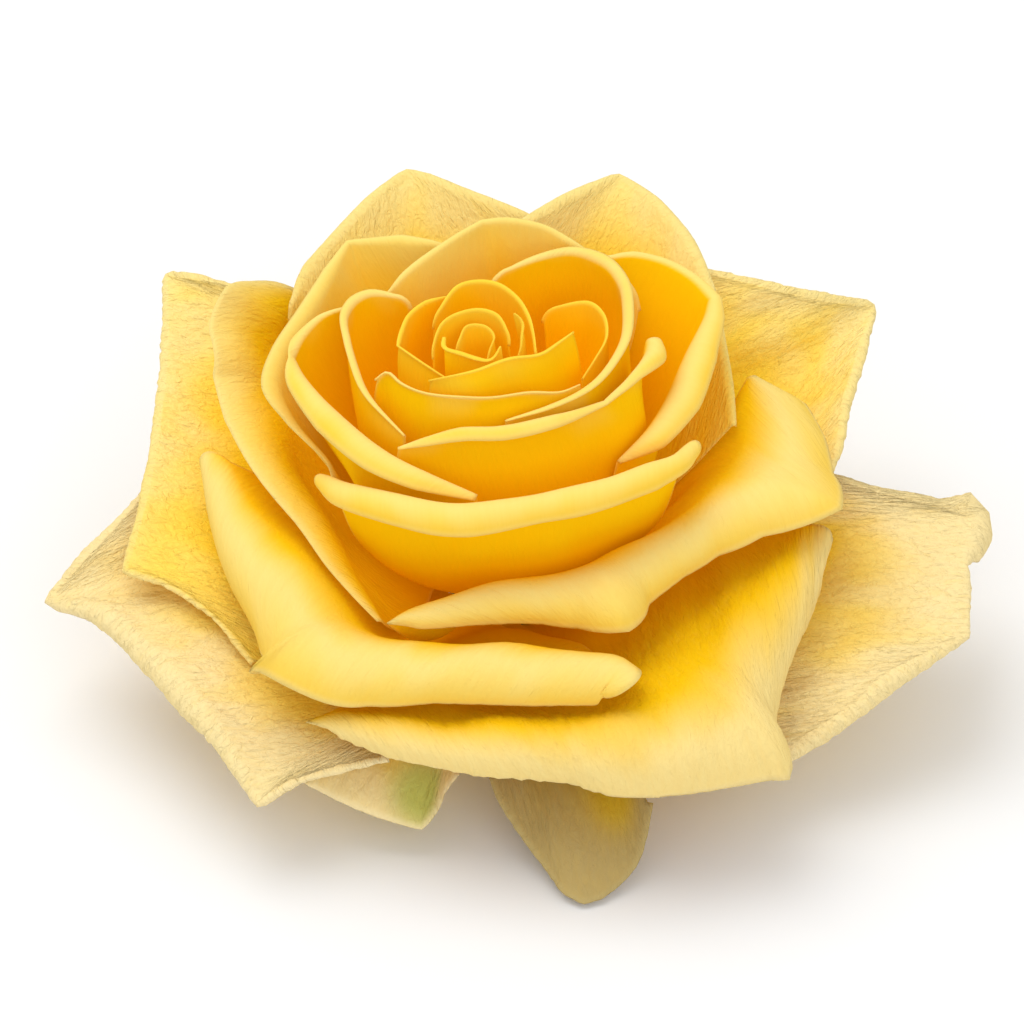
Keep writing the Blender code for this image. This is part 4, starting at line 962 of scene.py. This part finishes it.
# %% Calyx
STUB_RADIUS = 3.2
STUB_HEIGHT = 2.0
HIP_RADIUS = 5.6
HIP_HEIGHT = 5.0
SEPALS = 5
SEPAL_FIRST = 18.0
SEPAL_ROOT = 2.2
SEPAL_LENGTH = 17.0
SEPAL_WIDTH = 6.5
SEPAL_TIP = 0.35
SEPAL_ARCH = 1.2
SEPAL_FOLD = 0.12
SEPAL_THICKNESS = 0.8
DARK_GREEN, MID_GREEN = (0.10, 0.20, 0.035), (0.20, 0.33, 0.07)
DUSTY_GREEN, CUT_GREEN = (0.32, 0.42, 0.16), (0.55, 0.60, 0.30)
CUT_DEPTH = 0.0002
GRAIN_DEPTH = 0.0003
CALYX_ROUGHNESS = 0.65


def turned_body():
    """The profile of stub, hip and dome, resampled finely and turned round Z, its ends drawn to a point."""
    angles = np.linspace(0, math.pi / 2, 24)
    dome = np.stack([DOME_RADIUS * np.sin(angles), DOME_BOTTOM + DOME_HEIGHT * np.cos(angles)], 1)
    side = np.array([(HIP_RADIUS + 0.45, 7.4), (HIP_RADIUS + 0.3, 6.8), (HIP_RADIUS, HIP_HEIGHT),
                     (HIP_RADIUS - 0.5, 3.4), (STUB_RADIUS + 0.5, STUB_HEIGHT),
                     (STUB_RADIUS, STUB_HEIGHT - 0.7), (STUB_RADIUS, 0.15), (STUB_RADIUS - 0.15, 0)])
    profile = np.concatenate([dome, side, [(0.6 * STUB_RADIUS, 0), (0.25 * STUB_RADIUS, 0)]])[1:]
    turns = np.linspace(0, 2 * math.pi, 72, endpoint=False)
    ring = np.stack([np.cos(turns), np.sin(turns)], 1)
    points = np.concatenate([np.stack([r * ring[:, 0], r * ring[:, 1], z + 0 * turns], 1)
                             for r, z in profile])
    points = np.concatenate([points, [(0, 0, DOME_BOTTOM + DOME_HEIGHT), (0, 0, 0)]]) * MM
    i = np.arange(len(profile) * len(turns)).reshape(len(profile), -1)
    j = np.roll(i, -1, axis=1)
    quads = np.stack([i[:-1], i[1:], j[1:], j[:-1]], -1).reshape(-1, 4).tolist()
    crown = [(len(points) - 2, a, b) for a, b in zip(i[0].tolist(), j[0].tolist())]
    foot = [(len(points) - 1, b, a) for a, b in zip(i[-1].tolist(), j[-1].tolist())]
    return points, quads + crown + foot


def sepal_shell(index):
    """One sepal: an arch that bends down, with a folded section and a midrib, as a closed shell."""
    azimuth = math.radians(SEPAL_FIRST + 360 / SEPALS * index)
    rng = np.random.default_rng(50 + index)
    t = np.linspace(0, 1, 48)[:, None]
    side = np.linspace(-1, 1, 25)[None, :]
    reach = HIP_RADIUS - SEPAL_ROOT + SEPAL_LENGTH * t
    height = HIP_HEIGHT - 0.6 + SEPAL_ARCH * np.sin(math.pi * t) - (HIP_HEIGHT - 1.3) * t ** 1.6
    half = 0.5 * SEPAL_WIDTH * (1 - t ** 1.7) * (1 - 0.25 * (1 - t) ** 2) + SEPAL_TIP * (1 - 0.8 * t ** 6)
    half = half * (1 + 0.05 * np.sin(24 * t + rng.uniform(0, 6)))
    y = side * half
    x = reach + 0 * y
    z = height - SEPAL_FOLD * abs(y) + 0.12 * np.exp(-(y / 0.5) ** 2)
    sheet = np.stack([x * math.cos(azimuth) - y * math.sin(azimuth),
                      x * math.sin(azimuth) + y * math.cos(azimuth), z], -1)
    points, faces = shell(sheet, SEPAL_THICKNESS * (1 - 0.55 * side ** 2) + 0 * t)
    return points, faces.tolist()


def calyx_finish():
    """Matte green with a fine grain and a dusty bloom, paler on the cut end."""
    nodes = Nodes("calyx green")
    place = nodes.add("ShaderNodeTexCoord").outputs["Object"]
    grain = nodes.add("ShaderNodeTexNoise", {"Vector": place, "Scale": 900.0, "Detail": 4.0}).outputs["Fac"]
    broad = nodes.add("ShaderNodeTexNoise", {"Vector": place, "Scale": 160.0, "Detail": 2.0}).outputs["Fac"]
    colour = nodes.blend(nodes.spread(broad, 0.35, 0.65), DARK_GREEN, MID_GREEN)
    colour = nodes.blend(nodes.spread(grain, 0.45, 0.7, 0.0, 0.3), colour, DUSTY_GREEN)
    height = nodes.add("ShaderNodeSeparateXYZ", {"Vector": place}).outputs["Z"]
    colour = nodes.blend(nodes.spread(height, 0.1 * CUT_DEPTH, CUT_DEPTH, 1.0, 0.0), colour, CUT_GREEN)
    return nodes.dress(colour, grain, 0.3, GRAIN_DEPTH, CALYX_ROUGHNESS)


shells = [turned_body()] + [sepal_shell(index) for index in range(SEPALS)]
starts = np.cumsum([0] + [len(points) for points, _ in shells])
calyx_mesh = bpy.data.meshes.new("calyx_fine")
calyx_mesh.from_pydata(np.concatenate([points for points, _ in shells]).tolist(), [],
                       [[k + start for k in face] for (_, faces), start in zip(shells, starts.tolist())
                        for face in faces])
calyx_mesh.shade_smooth()
calyx_mesh.materials.append(calyx_finish())
calyx = bpy.data.objects.new("calyx_fine", calyx_mesh)
bpy.context.scene.collection.objects.link(calyx)
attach(calyx, "root")
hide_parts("calyx")
